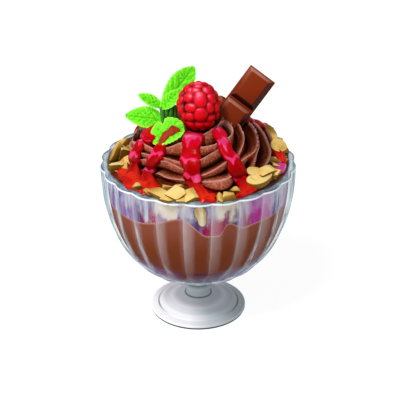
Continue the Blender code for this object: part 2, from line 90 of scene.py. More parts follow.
# %% [markdown]
# ## Helpers for modelling
#
# Pieces start from a primitive and are shaped in edit mode. Blender's operators act on all that
# is selected, so each piece begins with an empty selection. A curved food form such as the swirl
# can't be pulled by hand point by point, so its vertices are read into one array, moved by a
# formula, and written back, as a sculpting brush would do.


# %% Selecting, shaping and finishing
MERGE = 1e-6


def nothing_selected():
    if bpy.context.object and bpy.context.object.mode != "OBJECT":
        bpy.ops.object.mode_set(mode="OBJECT")
    bpy.ops.object.select_all(action="DESELECT")


def select(*pieces):
    """Selects these pieces alone, with the first one active."""
    nothing_selected()
    for piece in pieces:
        piece.select_set(True)
    bpy.context.view_layer.objects.active = pieces[0]


def made(name):
    """Names the object that an operator has just added."""
    piece = bpy.context.object
    piece.name = name
    piece.data.name = name
    return piece


def points_of(piece):
    flat = np.empty(len(piece.data.vertices) * 3, np.float64)
    piece.data.vertices.foreach_get("co", flat)
    return flat.reshape(-1, 3)


def set_points(piece, points):
    piece.data.vertices.foreach_set("co", np.asarray(points, np.float32).ravel())
    piece.data.update()


def set_attribute(piece, name, values):
    """Keeps one number at each vertex, for the finish to read."""
    layer = piece.data.attributes.new(name, "FLOAT", "POINT")
    layer.data.foreach_set("value", np.asarray(values, np.float32))


def polar(points):
    """Each point's distance from the upright axis, and its angle round it in radians."""
    return np.hypot(points[:, 0], points[:, 1]), np.arctan2(points[:, 1], points[:, 0])


def cube(name, size):
    nothing_selected()
    bpy.ops.mesh.primitive_cube_add(size=size)
    return made(name)


def sphere(name, segments, rings):
    nothing_selected()
    bpy.ops.mesh.primitive_uv_sphere_add(segments=segments, ring_count=rings, radius=1.0)
    return made(name)


def sheet(name, columns, rows):
    """A flat grid, and where each vertex lies across and up it, from -1 to 1."""
    nothing_selected()
    bpy.ops.mesh.primitive_grid_add(x_subdivisions=columns, y_subdivisions=rows, size=2.0)
    piece = made(name)
    grid = points_of(piece)
    return piece, grid[:, 0], grid[:, 1]


def apply_modifiers(piece):
    select(piece)
    for modifier in list(piece.modifiers):
        bpy.ops.object.modifier_apply(modifier=modifier.name)


def apply_place(piece):
    """Puts the object's place, turn and scale into its mesh."""
    select(piece)
    bpy.ops.object.transform_apply(location=True, rotation=True, scale=True)


def thicken(piece, thickness, offset=-1.0, smoothing=0):
    """Lets a sheet flow smooth and gives it a closed body."""
    if smoothing:
        flow = piece.modifiers.new("flow", "SMOOTH")
        flow.iterations = smoothing
    body = piece.modifiers.new("body", "SOLIDIFY")
    body.thickness = thickness
    body.offset = offset
    apply_modifiers(piece)


def joined(name, pieces):
    select(*pieces)
    bpy.ops.object.join()
    return made(name)


def smooth(piece, angle_deg=180.0):
    select(piece)
    if angle_deg >= 180.0:
        bpy.ops.object.shade_smooth()
    else:
        bpy.ops.object.shade_smooth_by_angle(angle=math.radians(angle_deg))


def tidy_shell(piece):
    """Merges doubles and turns all faces outwards."""
    select(piece)
    bpy.ops.object.mode_set(mode="EDIT")
    bpy.ops.mesh.select_all(action="SELECT")
    bpy.ops.mesh.remove_doubles(threshold=MERGE)
    bpy.ops.mesh.normals_make_consistent(inside=False)
    bpy.ops.object.mode_set(mode="OBJECT")


def turned(name, profile, steps):
    """A form turned about Z. The (radius, height) profile is drawn by extruding one vertex."""
    nothing_selected()
    bpy.ops.mesh.primitive_plane_add(size=0.01)
    piece = made(name)
    bpy.ops.object.mode_set(mode="EDIT")
    bpy.ops.mesh.select_all(action="SELECT")
    bpy.ops.mesh.merge(type="CENTER")
    bpy.ops.transform.translate(value=(profile[0][0], 0.0, profile[0][1]))
    for (r0, z0), (r1, z1) in zip(profile, profile[1:]):
        step = {"value": (r1 - r0, 0.0, z1 - z0)}
        bpy.ops.mesh.extrude_region_move(TRANSFORM_OT_translate=step)
    bpy.ops.mesh.select_all(action="SELECT")
    bpy.ops.mesh.spin(steps=steps, angle=2 * math.pi, center=(0, 0, 0), axis=(0, 0, 1))
    tidy_shell(piece)
    return piece


def settle(piece, material, slot, *nodes):
    """Gives the piece its finish and its place in the part."""
    piece.data.materials.clear()
    piece.data.materials.append(material)
    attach(piece, "root")
    if nodes:
        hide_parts(*nodes)
    piece.data.calc_loop_triangles()
    print(piece.name, "has", len(piece.data.loop_triangles), "triangles")


# %% [markdown]
# ## Helpers for finishes
#
# A colour is chosen as a screen colour, in hex, and turned into the linear value that a shader
# needs. Every node of a material is added by one function, which takes the node's properties and
# what each socket holds: a value, or the output of another node. The short functions after it
# add the nodes that come back in every finish, such as a ramp, a noise or a blend of two colours.


# %% Colours and nodes
def linear(code):
    """An sRGB hex colour as linear red, green, blue and alpha."""
    shares = [int(code[i:i + 2], 16) / 255 for i in (0, 2, 4)]
    return (*[s / 12.92 if s <= 0.04045 else ((s + 0.055) / 1.055) ** 2.4 for s in shares], 1.0)


def add(material, kind, sockets=None, **properties):
    node = material.node_tree.nodes.new(kind)
    for name, value in properties.items():
        setattr(node, name, value)
    for name, value in (sockets or {}).items():
        if isinstance(value, bpy.types.NodeSocket):
            material.node_tree.links.new(value, node.inputs[name])
        else:
            node.inputs[name].default_value = value
    return node


def shader_of(material):
    return material.node_tree.nodes["Principled BSDF"]


def finish(name, **sockets):
    """A new material with one Principled shader, whose sockets are given with _ for a space."""
    material = bpy.data.materials.new(name)
    material.use_nodes = True
    for key, value in sockets.items():
        shader_of(material).inputs[key.replace("_", " ")].default_value = value
    return material


def feed(material, socket, output):
    material.node_tree.links.new(output, shader_of(material).inputs[socket])


def ramp(material, factor, stops):
    """Stops along a factor, each a place with a hex colour or with a plain number."""
    node = add(material, "ShaderNodeValToRGB", {"Fac": factor})
    elements = node.color_ramp.elements
    while len(elements) < len(stops):
        elements.new(0.5)
    for element, (place, tone) in zip(elements, stops):
        element.position = place
        element.color = linear(tone) if isinstance(tone, str) else (tone, tone, tone, 1.0)
    return node.outputs["Color"]


def number(material, operation, *values):
    """One step of arithmetic."""
    return add(material, "ShaderNodeMath", dict(enumerate(values)), operation=operation).outputs[0]


def product(material, value, *others):
    for other in others:
        value = number(material, "MULTIPLY", value, other)
    return value


def wobbled(material, value, waves, height):
    """A value with a noise added, as far up as down."""
    waves = number(material, "MULTIPLY_ADD", waves, height, -height / 2)
    return number(material, "ADD", value, waves)


def span(material, value, low, high, *ends):
    """How far a value has come from low to high, from 0 to 1 or between the ends given."""
    sockets = {"Value": value, "From Min": low, "From Max": high}
    sockets.update(zip(("To Min", "To Max"), ends))
    return add(material, "ShaderNodeMapRange", sockets).outputs["Result"]


def blend(material, share, under, over, mode="MIX"):
    """Lays one colour over another by a share. The one over it may be a hex colour."""
    over = linear(over) if isinstance(over, str) else over
    sockets = {0: share, 6: under, 7: over}
    return add(material, "ShaderNodeMix", sockets, data_type="RGBA", blend_type=mode).outputs[2]


def position(material):
    """A point's place on the piece, as one vector and as its X, Y and Z."""
    place = add(material, "ShaderNodeTexCoord").outputs["Object"]
    return place, add(material, "ShaderNodeSeparateXYZ", {0: place}).outputs


def squeezed(material, place, height):
    """Places with their heights made smaller, so that a noise runs in upright streaks."""
    sockets = {0: place, 1: (1.0, 1.0, height)}
    return add(material, "ShaderNodeVectorMath", sockets, operation="MULTIPLY").outputs[0]


def noise(material, place, scale, detail=2.0):
    sockets = {"Vector": place, "Scale": scale, "Detail": detail}
    return add(material, "ShaderNodeTexNoise", sockets).outputs["Fac"]


def facing_up(material):
    """1 where a surface looks up, and -1 where it looks down."""
    normal = add(material, "ShaderNodeNewGeometry").outputs["Normal"]
    return add(material, "ShaderNodeSeparateXYZ", {0: normal}).outputs["Z"]


def kept(material, name):
    """What an attribute of the mesh keeps."""
    return add(material, "ShaderNodeAttribute", attribute_name=name).outputs["Fac"]


# %% [markdown]
# ## Floor and light
#
# The photo stands on plain white with almost no shadow, as on a light table, so the floor is a
# large pale sheet that glows. The key light comes from the top left in front, as the highlights
# on the berry and the sauce say. Tall narrow soft boxes at both sides give the upright streaks in
# the glass, and a small one above gives the wet glints.

# %% Floor
FLOOR_SIZE = 8.0
FLOOR_PLACE = (0, 2.0, -0.0002)
FLOOR_GLOW = 0.90
nothing_selected()
bpy.ops.mesh.primitive_plane_add(size=FLOOR_SIZE, location=FLOOR_PLACE)
floor = made("floor")
apply_place(floor)
floor_look = finish(
    "white_floor", Base_Color=linear("808080"), Roughness=0.9,
    Emission_Color=linear("FFFFFF"), Emission_Strength=FLOOR_GLOW,
)
# So large and even a sheet needs no rays aimed at it as at a lamp.
floor_look.cycles.emission_sampling = "NONE"
floor.data.materials.append(floor_look)
floor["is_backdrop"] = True

# %% World and lights
WORLD_TO_CAMERA = 1.0
WORLD_TO_SCENE = 0.30
SUN_STRENGTH = 1.15
SUN_SOFTNESS = math.radians(14)
SUN_WAY = (0.42, 0.52, -1.0)
SOFT_BOXES = [
    # name, place, aim, width and height in metres, power in watts
    ("left_box", (-0.55, -0.35, 0.30), (0, 0, 0.06), 0.05, 0.50, 1.00),
    ("right_box", (0.60, -0.25, 0.30), (0, 0, 0.06), 0.03, 0.50, 0.36),
    ("top_box", (-0.20, -0.30, 0.55), (0, 0, 0.10), 0.10, 0.07, 0.60),
]

world = bpy.data.worlds.new("studio")
bpy.context.scene.world = world
world.use_nodes = True
to_camera = add(world, "ShaderNodeLightPath").outputs["Is Camera Ray"]
strength = span(world, to_camera, 0.0, 1.0, WORLD_TO_SCENE, WORLD_TO_CAMERA)
background = world.node_tree.nodes["Background"]
background.inputs["Color"].default_value = (1.0, 1.0, 1.0, 1.0)
world.node_tree.links.new(strength, background.inputs["Strength"])


def hang_light(light, place, way):
    """Puts a light into the scene, shining one way."""
    lamp = bpy.data.objects.new(light.name, light)
    bpy.context.scene.collection.objects.link(lamp)
    lamp.location = place
    lamp.rotation_euler = Vector(way).to_track_quat("-Z", "Y").to_euler()


sun = bpy.data.lights.new("key_sun", "SUN")
sun.energy = SUN_STRENGTH
sun.angle = SUN_SOFTNESS
hang_light(sun, (0.0, 0.0, 0.0), SUN_WAY)
for name, place, aim, width, height, power in SOFT_BOXES:
    box = bpy.data.lights.new(name, "AREA")
    box.shape = "RECTANGLE"
    box.size = width
    box.size_y = height
    box.energy = power
    hang_light(box, place, Vector(aim) - Vector(place))
bpy.context.scene.view_settings.view_transform = "Standard"

# %% [markdown]
# ## The glass: sizes
#
# The glass is pressed: molten glass is pushed into a fluted mould, so the outside has 22 round
# flutes with a crease between each two, the inside is smooth, and the rim is scalloped. These
# are the solid's own sizes, with the flutes drawn finely here.

# %% Sizes of the glass
RIM_RADIUS = 49.7 * MM
RIM_HEIGHT = 86.5 * MM
INNER_RADIUS = 45.8 * MM
BOWL_BASE = 21.0 * MM
BOWL_FLOOR = 23.4 * MM
CURVE_UP = 2.32
CURVE_OUT = 2.40
INNER_CURVE_UP = 2.70
INNER_CURVE_OUT = 2.55
FLUTES = 22
FLUTE_DEPTH = 1.5 * MM
FLUTE_START = math.radians(-90) + math.pi / FLUTES
STEPS_PER_FLUTE = 12
LIP_ROUND = 1.3 * MM
INTO_WALL = 0.15 * MM


def bowl_curve(share, up=CURVE_UP, out=CURVE_OUT):
    """The bowl's radius as a share of the rim's, at a share of its height."""
    return (1 - (1 - np.clip(share, 0, 1)) ** up) ** (1 / out)


def inner_wall(height):
    """The radius of the glass's inside at a height. The wall is thinner lower down."""
    share = (height - BOWL_FLOOR) / (RIM_HEIGHT - BOWL_FLOOR)
    return INNER_RADIUS * bowl_curve(share, INNER_CURVE_UP, INNER_CURVE_OUT)


def flute_dip(angle):
    """0 on the round back of a flute, 1 in the crease between two."""
    share = ((angle - FLUTE_START) / (2 * math.pi) * FLUTES) % 1.0
    return 1 - np.sin(math.pi * share)


# %% [markdown]
# ## The glass: form
#
# One profile runs from under the foot, up the stem and bowl, over the lip and down the inside.
# It is drawn by extruding a vertex and then spun about the axis. The flutes are pressed in
# afterwards: each vertex of the outside moves in by the flute's depth at its angle.

# %% Draw and spin the glass
FOOT = [
    (0.0, 1.4), (16.0, 1.4), (20.2, 0.9), (20.9, 0.0), (24.3, 0.0), (24.9, 0.3), (25.2, 0.9),
    (25.2, 2.0), (24.9, 2.6), (24.3, 2.85), (22.0, 3.15), (21.5, 3.3), (21.2, 3.7), (20.8, 4.0),
    (20.2, 4.2), (18.0, 5.1), (15.0, 6.2), (12.0, 7.2), (9.5, 7.9), (7.9, 8.3), (6.9, 8.7),
    (6.5, 9.4), (6.35, 10.6), (6.4, 12.4), (6.7, 14.6), (7.2, 16.8), (7.9, 18.8), (8.8, 20.4),
]
WALL_ROWS = 58
WALL_CROWDING = 1.6
STEM_GAP = 1.2 * MM
LIP_ROWS = 8
LIP_SQUARENESS = 0.8
PRESS_REACH = 0.35
PRESS_STARTS = 20 * MM
PRESS_FULL_AFTER = 3 * MM


def outer_wall(height):
    """The radius of the bowl's outside at a height, without the flutes."""
    return RIM_RADIUS * bowl_curve((height - BOWL_BASE) / (RIM_HEIGHT - BOWL_BASE))


foot_rows = [(r * MM, z * MM) for r, z in FOOT]
outer_rows = []
for i in range(1, WALL_ROWS + 1):
    share = (i / WALL_ROWS) ** WALL_CROWDING
    height = BOWL_BASE + share * (RIM_HEIGHT - LIP_ROUND - BOWL_BASE)
    if outer_wall(height) > foot_rows[-1][0] + STEM_GAP:
        outer_rows.append((float(outer_wall(height)), height))
lip_rows = []
lip_middle = (RIM_RADIUS + INNER_RADIUS) / 2
lip_half = (RIM_RADIUS - INNER_RADIUS) / 2
for i in range(1, LIP_ROWS):
    turn = math.pi * i / LIP_ROWS
    across = math.copysign(abs(math.cos(turn)) ** LIP_SQUARENESS, math.cos(turn))
    up = math.sin(turn) ** LIP_SQUARENESS
    lip_rows.append((lip_middle + lip_half * across, RIM_HEIGHT - LIP_ROUND + LIP_ROUND * up))
inner_rows = []
for i in range(WALL_ROWS, 0, -2):
    share = (i / WALL_ROWS) ** WALL_CROWDING
    height = BOWL_FLOOR + share * (RIM_HEIGHT - LIP_ROUND - BOWL_FLOOR)
    inner_rows.append((float(inner_wall(height)), height))
glass_profile = foot_rows + outer_rows + lip_rows + inner_rows + [(0.0, BOWL_FLOOR)]
glass = turned("pressed_glass", glass_profile, FLUTES * STEPS_PER_FLUTE)

# %% Press the flutes in
points = points_of(glass)
radii, angles = polar(points)
wall_middle = (inner_wall(points[:, 2]) + outer_wall(points[:, 2])) / 2
outside = np.clip((radii - wall_middle) / lip_half + PRESS_REACH, 0, 1)
outside *= np.clip((points[:, 2] - PRESS_STARTS) / PRESS_FULL_AFTER, 0, 1)
pressed = FLUTE_DEPTH * flute_dip(angles) * outside * np.clip(radii / RIM_RADIUS, 0, 1)
points[:, :2] *= ((radii - pressed) / np.maximum(radii, 1e-9))[:, None]
set_points(glass, points)
smooth(glass, 28.0)
print("rim is", round(2 * RIM_RADIUS / MM, 1), "mm across with", FLUTES, "flutes")

# %% [markdown]
# ## The glass: finish
#
# Soda-lime glass is clear and slightly blue-green where one looks through a lot of it: along the
# rim and at the silhouette. The contents here lie against the wall, and the photo shows a clear
# band at both sides, so the body of the bowl hardly bends the light, and its gloss comes from a
# weak coat. Beside each crease between two flutes a pale veil of reflection is painted to one
# side, a little more on one flute than on the next and most near the rim. Low down, where the wall
# turns to the stem, a pale painted reflection lies at both sides and the front stays clear.
# Edge-on the wall shows upright reeds of pale blue, a painted white highlight runs as a line under
# the lip, and the lip itself is tinted because one looks along it.
#
# The foot is thick, so it looks like grey ice. It is painted white at the left, where the light
# falls, and greyer to the right, with painted dark lines where its surface bends: at the stem, at
# the step and along the lower edge, and with painted white highlight rings on its dome. It gathers
# light from the pale table, which a small glow of its own stands for.

# %% Clear pressed glass
GLASS_GLOSS = 0.06


def facing(material):
    """0 where a surface is seen face-on, and 1 where it is seen edge-on."""
    return add(material, "ShaderNodeLayerWeight", {"Blend": 0.5}).outputs["Facing"]


def clear_glass(name, ior, tints):
    """Pressed soda-lime glass, with its tint from face-on to edge-on."""
    material = finish(
        name, Roughness=0.02, IOR=ior, Transmission_Weight=1.0, Coat_Weight=GLASS_GLOSS,
        Coat_Roughness=0.02, Coat_IOR=1.5,
    )
    feed(material, "Base Color", ramp(material, facing(material), tints))
    return material


def matt(material, colour):
    return add(material, "ShaderNodeBsdfDiffuse", {"Color": colour}).outputs[0]


def cover(material, under, weight, over):
    """Lays one shader over another by a weight."""
    return add(material, "ShaderNodeMixShader", {0: weight, 1: under, 2: over}).outputs[0]


def lets_lamps_through(material, surface):
    """Shadow rays and scattered light pass, so the food behind the glass is lit."""
    through = add(material, "ShaderNodeBsdfTransparent", {"Color": linear("EEF6F8")}).outputs[0]
    path = add(material, "ShaderNodeLightPath").outputs
    passing = number(material, "MAXIMUM", path["Is Shadow Ray"], path["Is Diffuse Ray"])
    end = material.node_tree.nodes["Material Output"].inputs["Surface"]
    material.node_tree.links.new(cover(material, surface, passing, through), end)


# %% The bowl: painted reflections, edge, painted lip highlight and lip
SIDE = 22 * MM
UNEVEN_FLUTES = (0.4, 0.85)
bowl = clear_glass(
    "pressed_soda_lime_bowl", 1.01,
    [(0.0, "F3F8FA"), (0.50, "F0F6F8"), (0.82, "C4D8DF"), (0.97, "7C9CA6")],
)
place, parts = position(bowl)
turn = number(bowl, "ARCTAN2", parts["Y"], parts["X"])
per_turn = FLUTES / (2 * math.pi)
flutes = number(bowl, "MULTIPLY_ADD", turn, per_turn, FLUTES * 2 - FLUTE_START * per_turn)
chance = add(
    bowl, "ShaderNodeTexWhiteNoise", {"W": number(bowl, "FLOOR", flutes)}, noise_dimensions="1D"
).outputs["Value"]
uneven = number(bowl, "MULTIPLY_ADD", chance, *UNEVEN_FLUTES)
# Painted reflection: a pale veil beside each crease, stronger towards the rim.
painted_sheen = ramp(
    bowl, number(bowl, "FRACT", flutes),
    [(0.0, 0.42), (0.05, 0.32), (0.26, 0.18), (0.42, 0.0), (0.80, 0.0), (0.95, 0.14),
     (0.965, 0.46), (0.995, 0.46), (1.0, 0.42)],
)
painted_sheen = product(bowl, painted_sheen, uneven, span(bowl, parts["Z"], 26 * MM, 84 * MM, 0.20, 0.95))
painted_sheen_tint = ramp(
    bowl, span(bowl, parts["Z"], 26 * MM, 60 * MM),
    [(0.0, "906E74"), (0.25, "A48488"), (0.55, "CCB8BA"), (1.0, "E2DEE0")],
)
# Painted reflection low down at both sides of the bowl.
painted_side_sheen = ramp(
    bowl, span(bowl, parts["Z"], 24 * MM, 48 * MM),
    [(0.0, 0.45), (0.25, 0.30), (0.45, 0.12), (0.60, 0.0), (1.0, 0.0)],
)
to_side = number(bowl, "MULTIPLY", number(bowl, "ABSOLUTE", parts["X"]), 1 / SIDE)
painted_side_sheen = product(bowl, painted_side_sheen, ramp(bowl, to_side, [(0.1, 0.04), (0.9, 1.0)]), uneven)
painted_sheen = number(bowl, "MAXIMUM", painted_sheen, painted_side_sheen)
surface = cover(bowl, shader_of(bowl).outputs[0], painted_sheen, matt(bowl, painted_sheen_tint))

reeds = noise(bowl, squeezed(bowl, place, 0.16), 420.0, 1.0)
edge_tint = ramp(
    bowl, reeds, [(0.36, "7C9EAC"), (0.47, "A8C2CE"), (0.56, "D0DEE6"), (0.64, "F4F8FA")]
)
edge = ramp(bowl, facing(bowl), [(0.0, 0.0), (0.58, 0.0), (0.68, 0.5), (1.0, 0.75)])
upper = span(bowl, parts["Z"], 40 * MM, 80 * MM, 0.45, 1.0)
low_front = span(bowl, parts["Z"], 30 * MM, 44 * MM, 0.35)
beside = number(bowl, "MAXIMUM", low_front, ramp(bowl, to_side, [(0.2, 0.0), (0.9, 1.0)]))
surface = cover(bowl, surface, product(bowl, upper, beside, edge), matt(bowl, edge_tint))

# A painted white highlight line just under the lip.
painted_lip_highlight = ramp(
    bowl, span(bowl, parts["Z"], 82.5 * MM, RIM_HEIGHT),
    [(0.0, 0.0), (0.48, 0.0), (0.58, 0.95), (0.74, 0.95), (0.79, 0.0)],
)
surface = cover(bowl, surface, painted_lip_highlight, matt(bowl, linear("F4F8FA")))
lip = ramp(
    bowl, span(bowl, parts["Z"], 84.3 * MM, RIM_HEIGHT),
    [(0.0, 0.0), (0.55, 0.0), (0.62, 0.85), (0.80, 0.80), (1.0, 0.40)],
)
lip_tint = ramp(
    bowl, noise(bowl, place, 130.0), [(0.35, "3C6474"), (0.5, "608694"), (0.62, "A4C2CE")]
)
lets_lamps_through(bowl, cover(bowl, surface, lip, matt(bowl, lip_tint)))

# %% The foot: grey ice with painted light, painted dark lines and highlights
FOOT_RADIUS = 25.2 * MM
FOOT_GLOW = 0.28
FOOT_ICE = 0.80
BOWL_STARTS = 20.6 * MM
foot = clear_glass(
    "pressed_soda_lime_foot", 1.45,
    [(0.0, "F0F4F6"), (0.55, "DCE4E8"), (0.80, "94A6AC"), (0.95, "33474E")],
)
place, parts = position(foot)
# Painted light: white at the left, where the light falls, and greyer to the right.
painted_lit_ice = ramp(
    foot, span(foot, parts["X"], -24 * MM, 24 * MM),
    [(0.0, "FFFFFF"), (0.40, "F2F4F4"), (0.62, "C4CCCE"), (1.0, "A0ACB0")],
)
squares = [number(foot, "POWER", parts[axis], 2.0) for axis in "XY"]
out = number(foot, "SQRT", number(foot, "ADD", *squares))
out = number(foot, "MULTIPLY", out, 1 / FOOT_RADIUS)
# Painted dark lines where the glass bends at the stem, and painted white highlight rings on the
# dome.
painted_rings = ramp(
    foot, out,
    [(0.0, "B4BABC"), (0.258, "A8AEB0"), (0.276, "34444A"), (0.30, "DCE0E0"), (0.44, "D8DEDE"),
     (0.56, "FFFFFF"), (0.60, "F0F4F4"), (0.70, "E4E8E8"), (0.76, "FFFFFF"), (1.0, "FFFFFF")],
)
# A painted dark line at the step, strongest at the back.
step = ramp(foot, out, [(0.82, 0.0), (0.836, 0.85), (0.848, 0.85), (0.862, 0.0)])
behind = span(foot, parts["Y"], -17 * MM, -4 * MM)
painted_rings = blend(foot, product(foot, step, behind), painted_rings, "3A4C52")
# Painted shade along the lower edge.
painted_edge_shade = ramp(
    foot, span(foot, parts["Z"], 0.0, 2.0 * MM), [(0.58, "1E3238"), (0.74, "FFFFFF")]
)
for tone in (painted_rings, painted_edge_shade):
    painted_lit_ice = blend(foot, 1.0, painted_lit_ice, tone, "MULTIPLY")
gathered = add(foot, "ShaderNodeEmission", {"Color": painted_lit_ice, "Strength": FOOT_GLOW}).outputs[0]
ice = add(foot, "ShaderNodeAddShader", {0: matt(foot, painted_lit_ice), 1: gathered}).outputs[0]
lets_lamps_through(foot, cover(foot, shader_of(foot).outputs[0], FOOT_ICE, ice))

settle(glass, bowl, "pressed_glass", "glass")
glass.data.materials.append(foot)
for face in glass.data.polygons:
    if face.center.z < BOWL_STARTS:
        face.material_index = 1

# %% [markdown]
# ## What fills the glass
#
# From the bottom up the bowl holds a thin magenta sauce, the mousse and a milky berry layer. Each
# is a body of turned form whose top and bottom wave with the angle. It is spun as a plain
# cylinder of height 1 and radius 1, and then every vertex is carried to its true height and out
# to just inside the wall, so that no air shows between the food and the glass.

# %% Levels of the layers
BOTTOM_SAUCE_LEVEL = 32.5 * MM
MOUSSE_HEART = 69.0 * MM
SAUCE_LEVEL = 77.5 * MM
SAUCE_AT_WALL = 85.0 * MM
HEAP_LEVEL = 86.2 * MM
LAYER_STEPS = 480
LAYER_GAP = 0.05 * MM
FLOOR_GAP = 0.3 * MM


def bump(angle_deg, middle, half_width):
    """1 at the middle angle, falling to 0 on both sides."""
    off = (angle_deg - middle + 180) % 360 - 180
    return np.exp(-((off / half_width) ** 2))


MOUSSE_EDGE = [
    # angle round the glass in degrees, height in mm; the front follows the photo
    (-156, 67.7), (-148, 68.7), (-141, 68.4), (-135, 68.6), (-127, 69.3), (-121, 70.6),
    (-114, 72.5),
    (-107, 74.6), (-103, 75.7), (-99, 76.0), (-97, 75.0), (-95, 73.4), (-92.5, 71.5), (-90, 69.6),
    (-87.5, 67.5), (-85, 66.6), (-81, 66.4), (-77, 66.3), (-75.2, 67.6), (-74.3, 69.8),
    (-72.8, 72.1), (-71, 72.7), (-69, 72.4), (-65.5, 70.4), (-61, 68.7), (-56, 69.0), (-50, 69.3),
    (-44, 69.2), (-38, 68.7), (-28, 69.3), (-16, 68.0), (8, 70.4), (34, 72.6), (54, 70.6),
    (78, 66.6), (100, 69.4), (132, 73.0), (152, 70.0), (176, 67.4),
]


def mousse_level(angle):
    """The mousse's wavy top at the glass, as the spoon left it."""
    at, height = zip(*MOUSSE_EDGE)
    softened = [np.interp(np.degrees(angle) + o, at, height, period=360) for o in (-0.8, 0.0, 0.8)]
    return MM * np.mean(softened, axis=0)


def bottom_level(angle):
    return BOTTOM_SAUCE_LEVEL + 1.2 * MM * np.sin(2 * angle + 0.4) + 0.8 * MM * np.sin(5 * angle)


def sauce_level(angle):
    """The milky sauce has crept up the wall almost to the rim, and its heart lies lower."""
    return SAUCE_AT_WALL + 0.3 * MM * np.sin(3 * angle + 1.0) + 0.2 * MM * np.sin(7 * angle)


def even(level):
    """A level that is the same at every angle."""
    return lambda angle: level + 0 * angle


def above(level):
    """A wavy level and the hair's breadth that keeps the next layer off it."""
    return lambda angle: level(angle) + LAYER_GAP


def filling(name, low, low_heart, high, high_heart, rows):
    """A layer out to the glass, between two wavy levels with plain hearts."""
    rings = [0.0, 0.35, 0.7, 0.9]
    profile = [(r, 0.0) for r in rings]
    profile += [(1.0, i / rows) for i in range(rows + 1)]
    profile += [(r, 1.0) for r in reversed(rings)]
    piece = turned(name, profile, LAYER_STEPS)
    points = points_of(piece)
    out, angle = polar(points)
    under = low_heart + (low(angle) - low_heart) * out ** 2
    top = high_heart + (high(angle) - high_heart) * out ** 2
    height = under + (top - under) * points[:, 2]
    radius = out * (inner_wall(height) + INTO_WALL)
    set_points(piece, np.stack([radius * np.cos(angle), radius * np.sin(angle), height], axis=1))
    smooth(piece, 50.0)
    return piece


# %% [markdown]
# ## Finish of what fills the glass
#
# Chocolate mousse against glass is smooth and satin. It is painted milk-brown near its top, where
# the light comes in, and deeper towards the bottom, where the berry sauce stains it violet. A pale
# line marks its upper edge, and a few dark specks of grated chocolate show. The milky berry layer
# runs down the wall in upright streaks, lavender below and paler above, where more milk is in it.
# Sauce that isn't mixed in leaves stains of plum, magenta and crimson, and cream leaves pale ones.
# A nut that touches the wall shows as a gold patch, with painted shade round it. The back mirrors
# the front.

# %% Mousse in the glass
mousse_look = finish("whipped_mousse_in_glass", Roughness=0.6, Specular_IOR_Level=0.05)
place, parts = position(mousse_look)
soft = noise(mousse_look, place, 45.0)
up = wobbled(mousse_look, span(mousse_look, parts["Z"], 30 * MM, 74 * MM), soft, 0.30)
# Painted light: paler near the top, where the light comes in, and deeper brown lower down.
brown = ramp(
    mousse_look, up, [(0.0, "501802"), (0.22, "6A2602"), (0.60, "7C3412"), (0.95, "964C3A")]
)
speck = noise(mousse_look, place, 520.0, 1.0)
specks = ramp(mousse_look, speck, [(0.0, 0.0), (0.75, 0.0), (0.78, 1.0)])
colour = blend(mousse_look, specks, brown, "2A0E06")
low = wobbled(mousse_look, span(mousse_look, parts["Z"], 30 * MM, 46 * MM), soft, 0.30)
stained = ramp(mousse_look, low, [(0.0, 0.85), (0.50, 0.55), (0.72, 0.20), (0.80, 0.0)])
to_right = span(mousse_look, parts["X"], -24 * MM, 24 * MM)
stain = ramp(
    mousse_look, to_right, [(0.10, "8A64A0"), (0.36, "5C1824"), (0.60, "54486C"), (1.0, "8084A8")]
)
colour = blend(mousse_look, stained, colour, stain)
seam = ramp(mousse_look, low, [(0.60, 0.0), (0.65, 0.9), (0.70, 0.9), (0.74, 0.0)])
middle = ramp(mousse_look, to_right, [(0.30, 0.0), (0.40, 1.0), (0.66, 1.0), (0.74, 0.0)])
colour = blend(mousse_look, product(mousse_look, seam, middle), colour, "4C0424")
line = ramp(mousse_look, kept(mousse_look, "under_edge"), [(0.0, 0.8), (0.05, 0.8), (0.10, 0.0)])
feed(mousse_look, "Base Color", blend(mousse_look, line, colour, "C08878"))

# %% Milky berry layer and bottom sauce
def stained(material, colour, streaks, stains):
    """Lays the tone of each stain over a colour. Its edges run as the streaks do."""
    for name, tint in stains:
        share = wobbled(material, kept(material, name), streaks, 1.2)
        colour = blend(material, ramp(material, share, [(0.25, 0.0), (0.65, 1.0)]), colour, tint)
    return colour


berry_look = finish("milky_berry_sauce", Roughness=0.5, Specular_IOR_Level=0.05)
place, parts = position(berry_look)
streaks = noise(berry_look, squeezed(berry_look, place, 0.22), 300.0)
clouds = noise(berry_look, place, 120.0, 3.0)
up = wobbled(berry_look, span(berry_look, parts["Z"], 66 * MM, 85 * MM), clouds, 1.1)
up = wobbled(berry_look, up, streaks, 0.8)
low = stained(
    berry_look, ramp(berry_look, streaks, [(0.36, "765088"), (0.5, "9878A8"), (0.62, "B49CC0")]),
    streaks, [("plum", "5A3C6C"), ("magenta", "BC2C90"), ("crimson", "9C0040")],
)
high = stained(
    berry_look, ramp(berry_look, streaks, [(0.36, "9484A2"), (0.5, "AEA4B8"), (0.62, "CAC4D2")]),
    streaks, [("magenta", "C07CB4"), ("cream", "E8D4C0")],
)
colour = blend(berry_look, ramp(berry_look, up, [(0.40, 0.0), (0.66, 1.0)]), low, high)
nut_at = wobbled(berry_look, kept(berry_look, "nut_at_wall"), clouds, 0.8)
# Painted shade: a dark ring round the gold patch of a nut at the wall.
shade_round_nut = ramp(berry_look, nut_at, [(0.20, 0.0), (0.34, 0.75), (0.50, 0.75)])
colour = blend(berry_look, shade_round_nut, colour, "5A4258")
nut_tone = ramp(berry_look, nut_at, [(0.40, 0.0), (0.56, 0.9)])
nut_gold = ramp(berry_look, streaks, [(0.36, "AC8850"), (0.5, "DCB880"), (0.62, "F4DEB8")])
feed(berry_look, "Base Color", blend(berry_look, nut_tone, colour, nut_gold))

bottom_look = finish("clear_berry_sauce", Roughness=0.25, Base_Color=linear("8A3F86"))

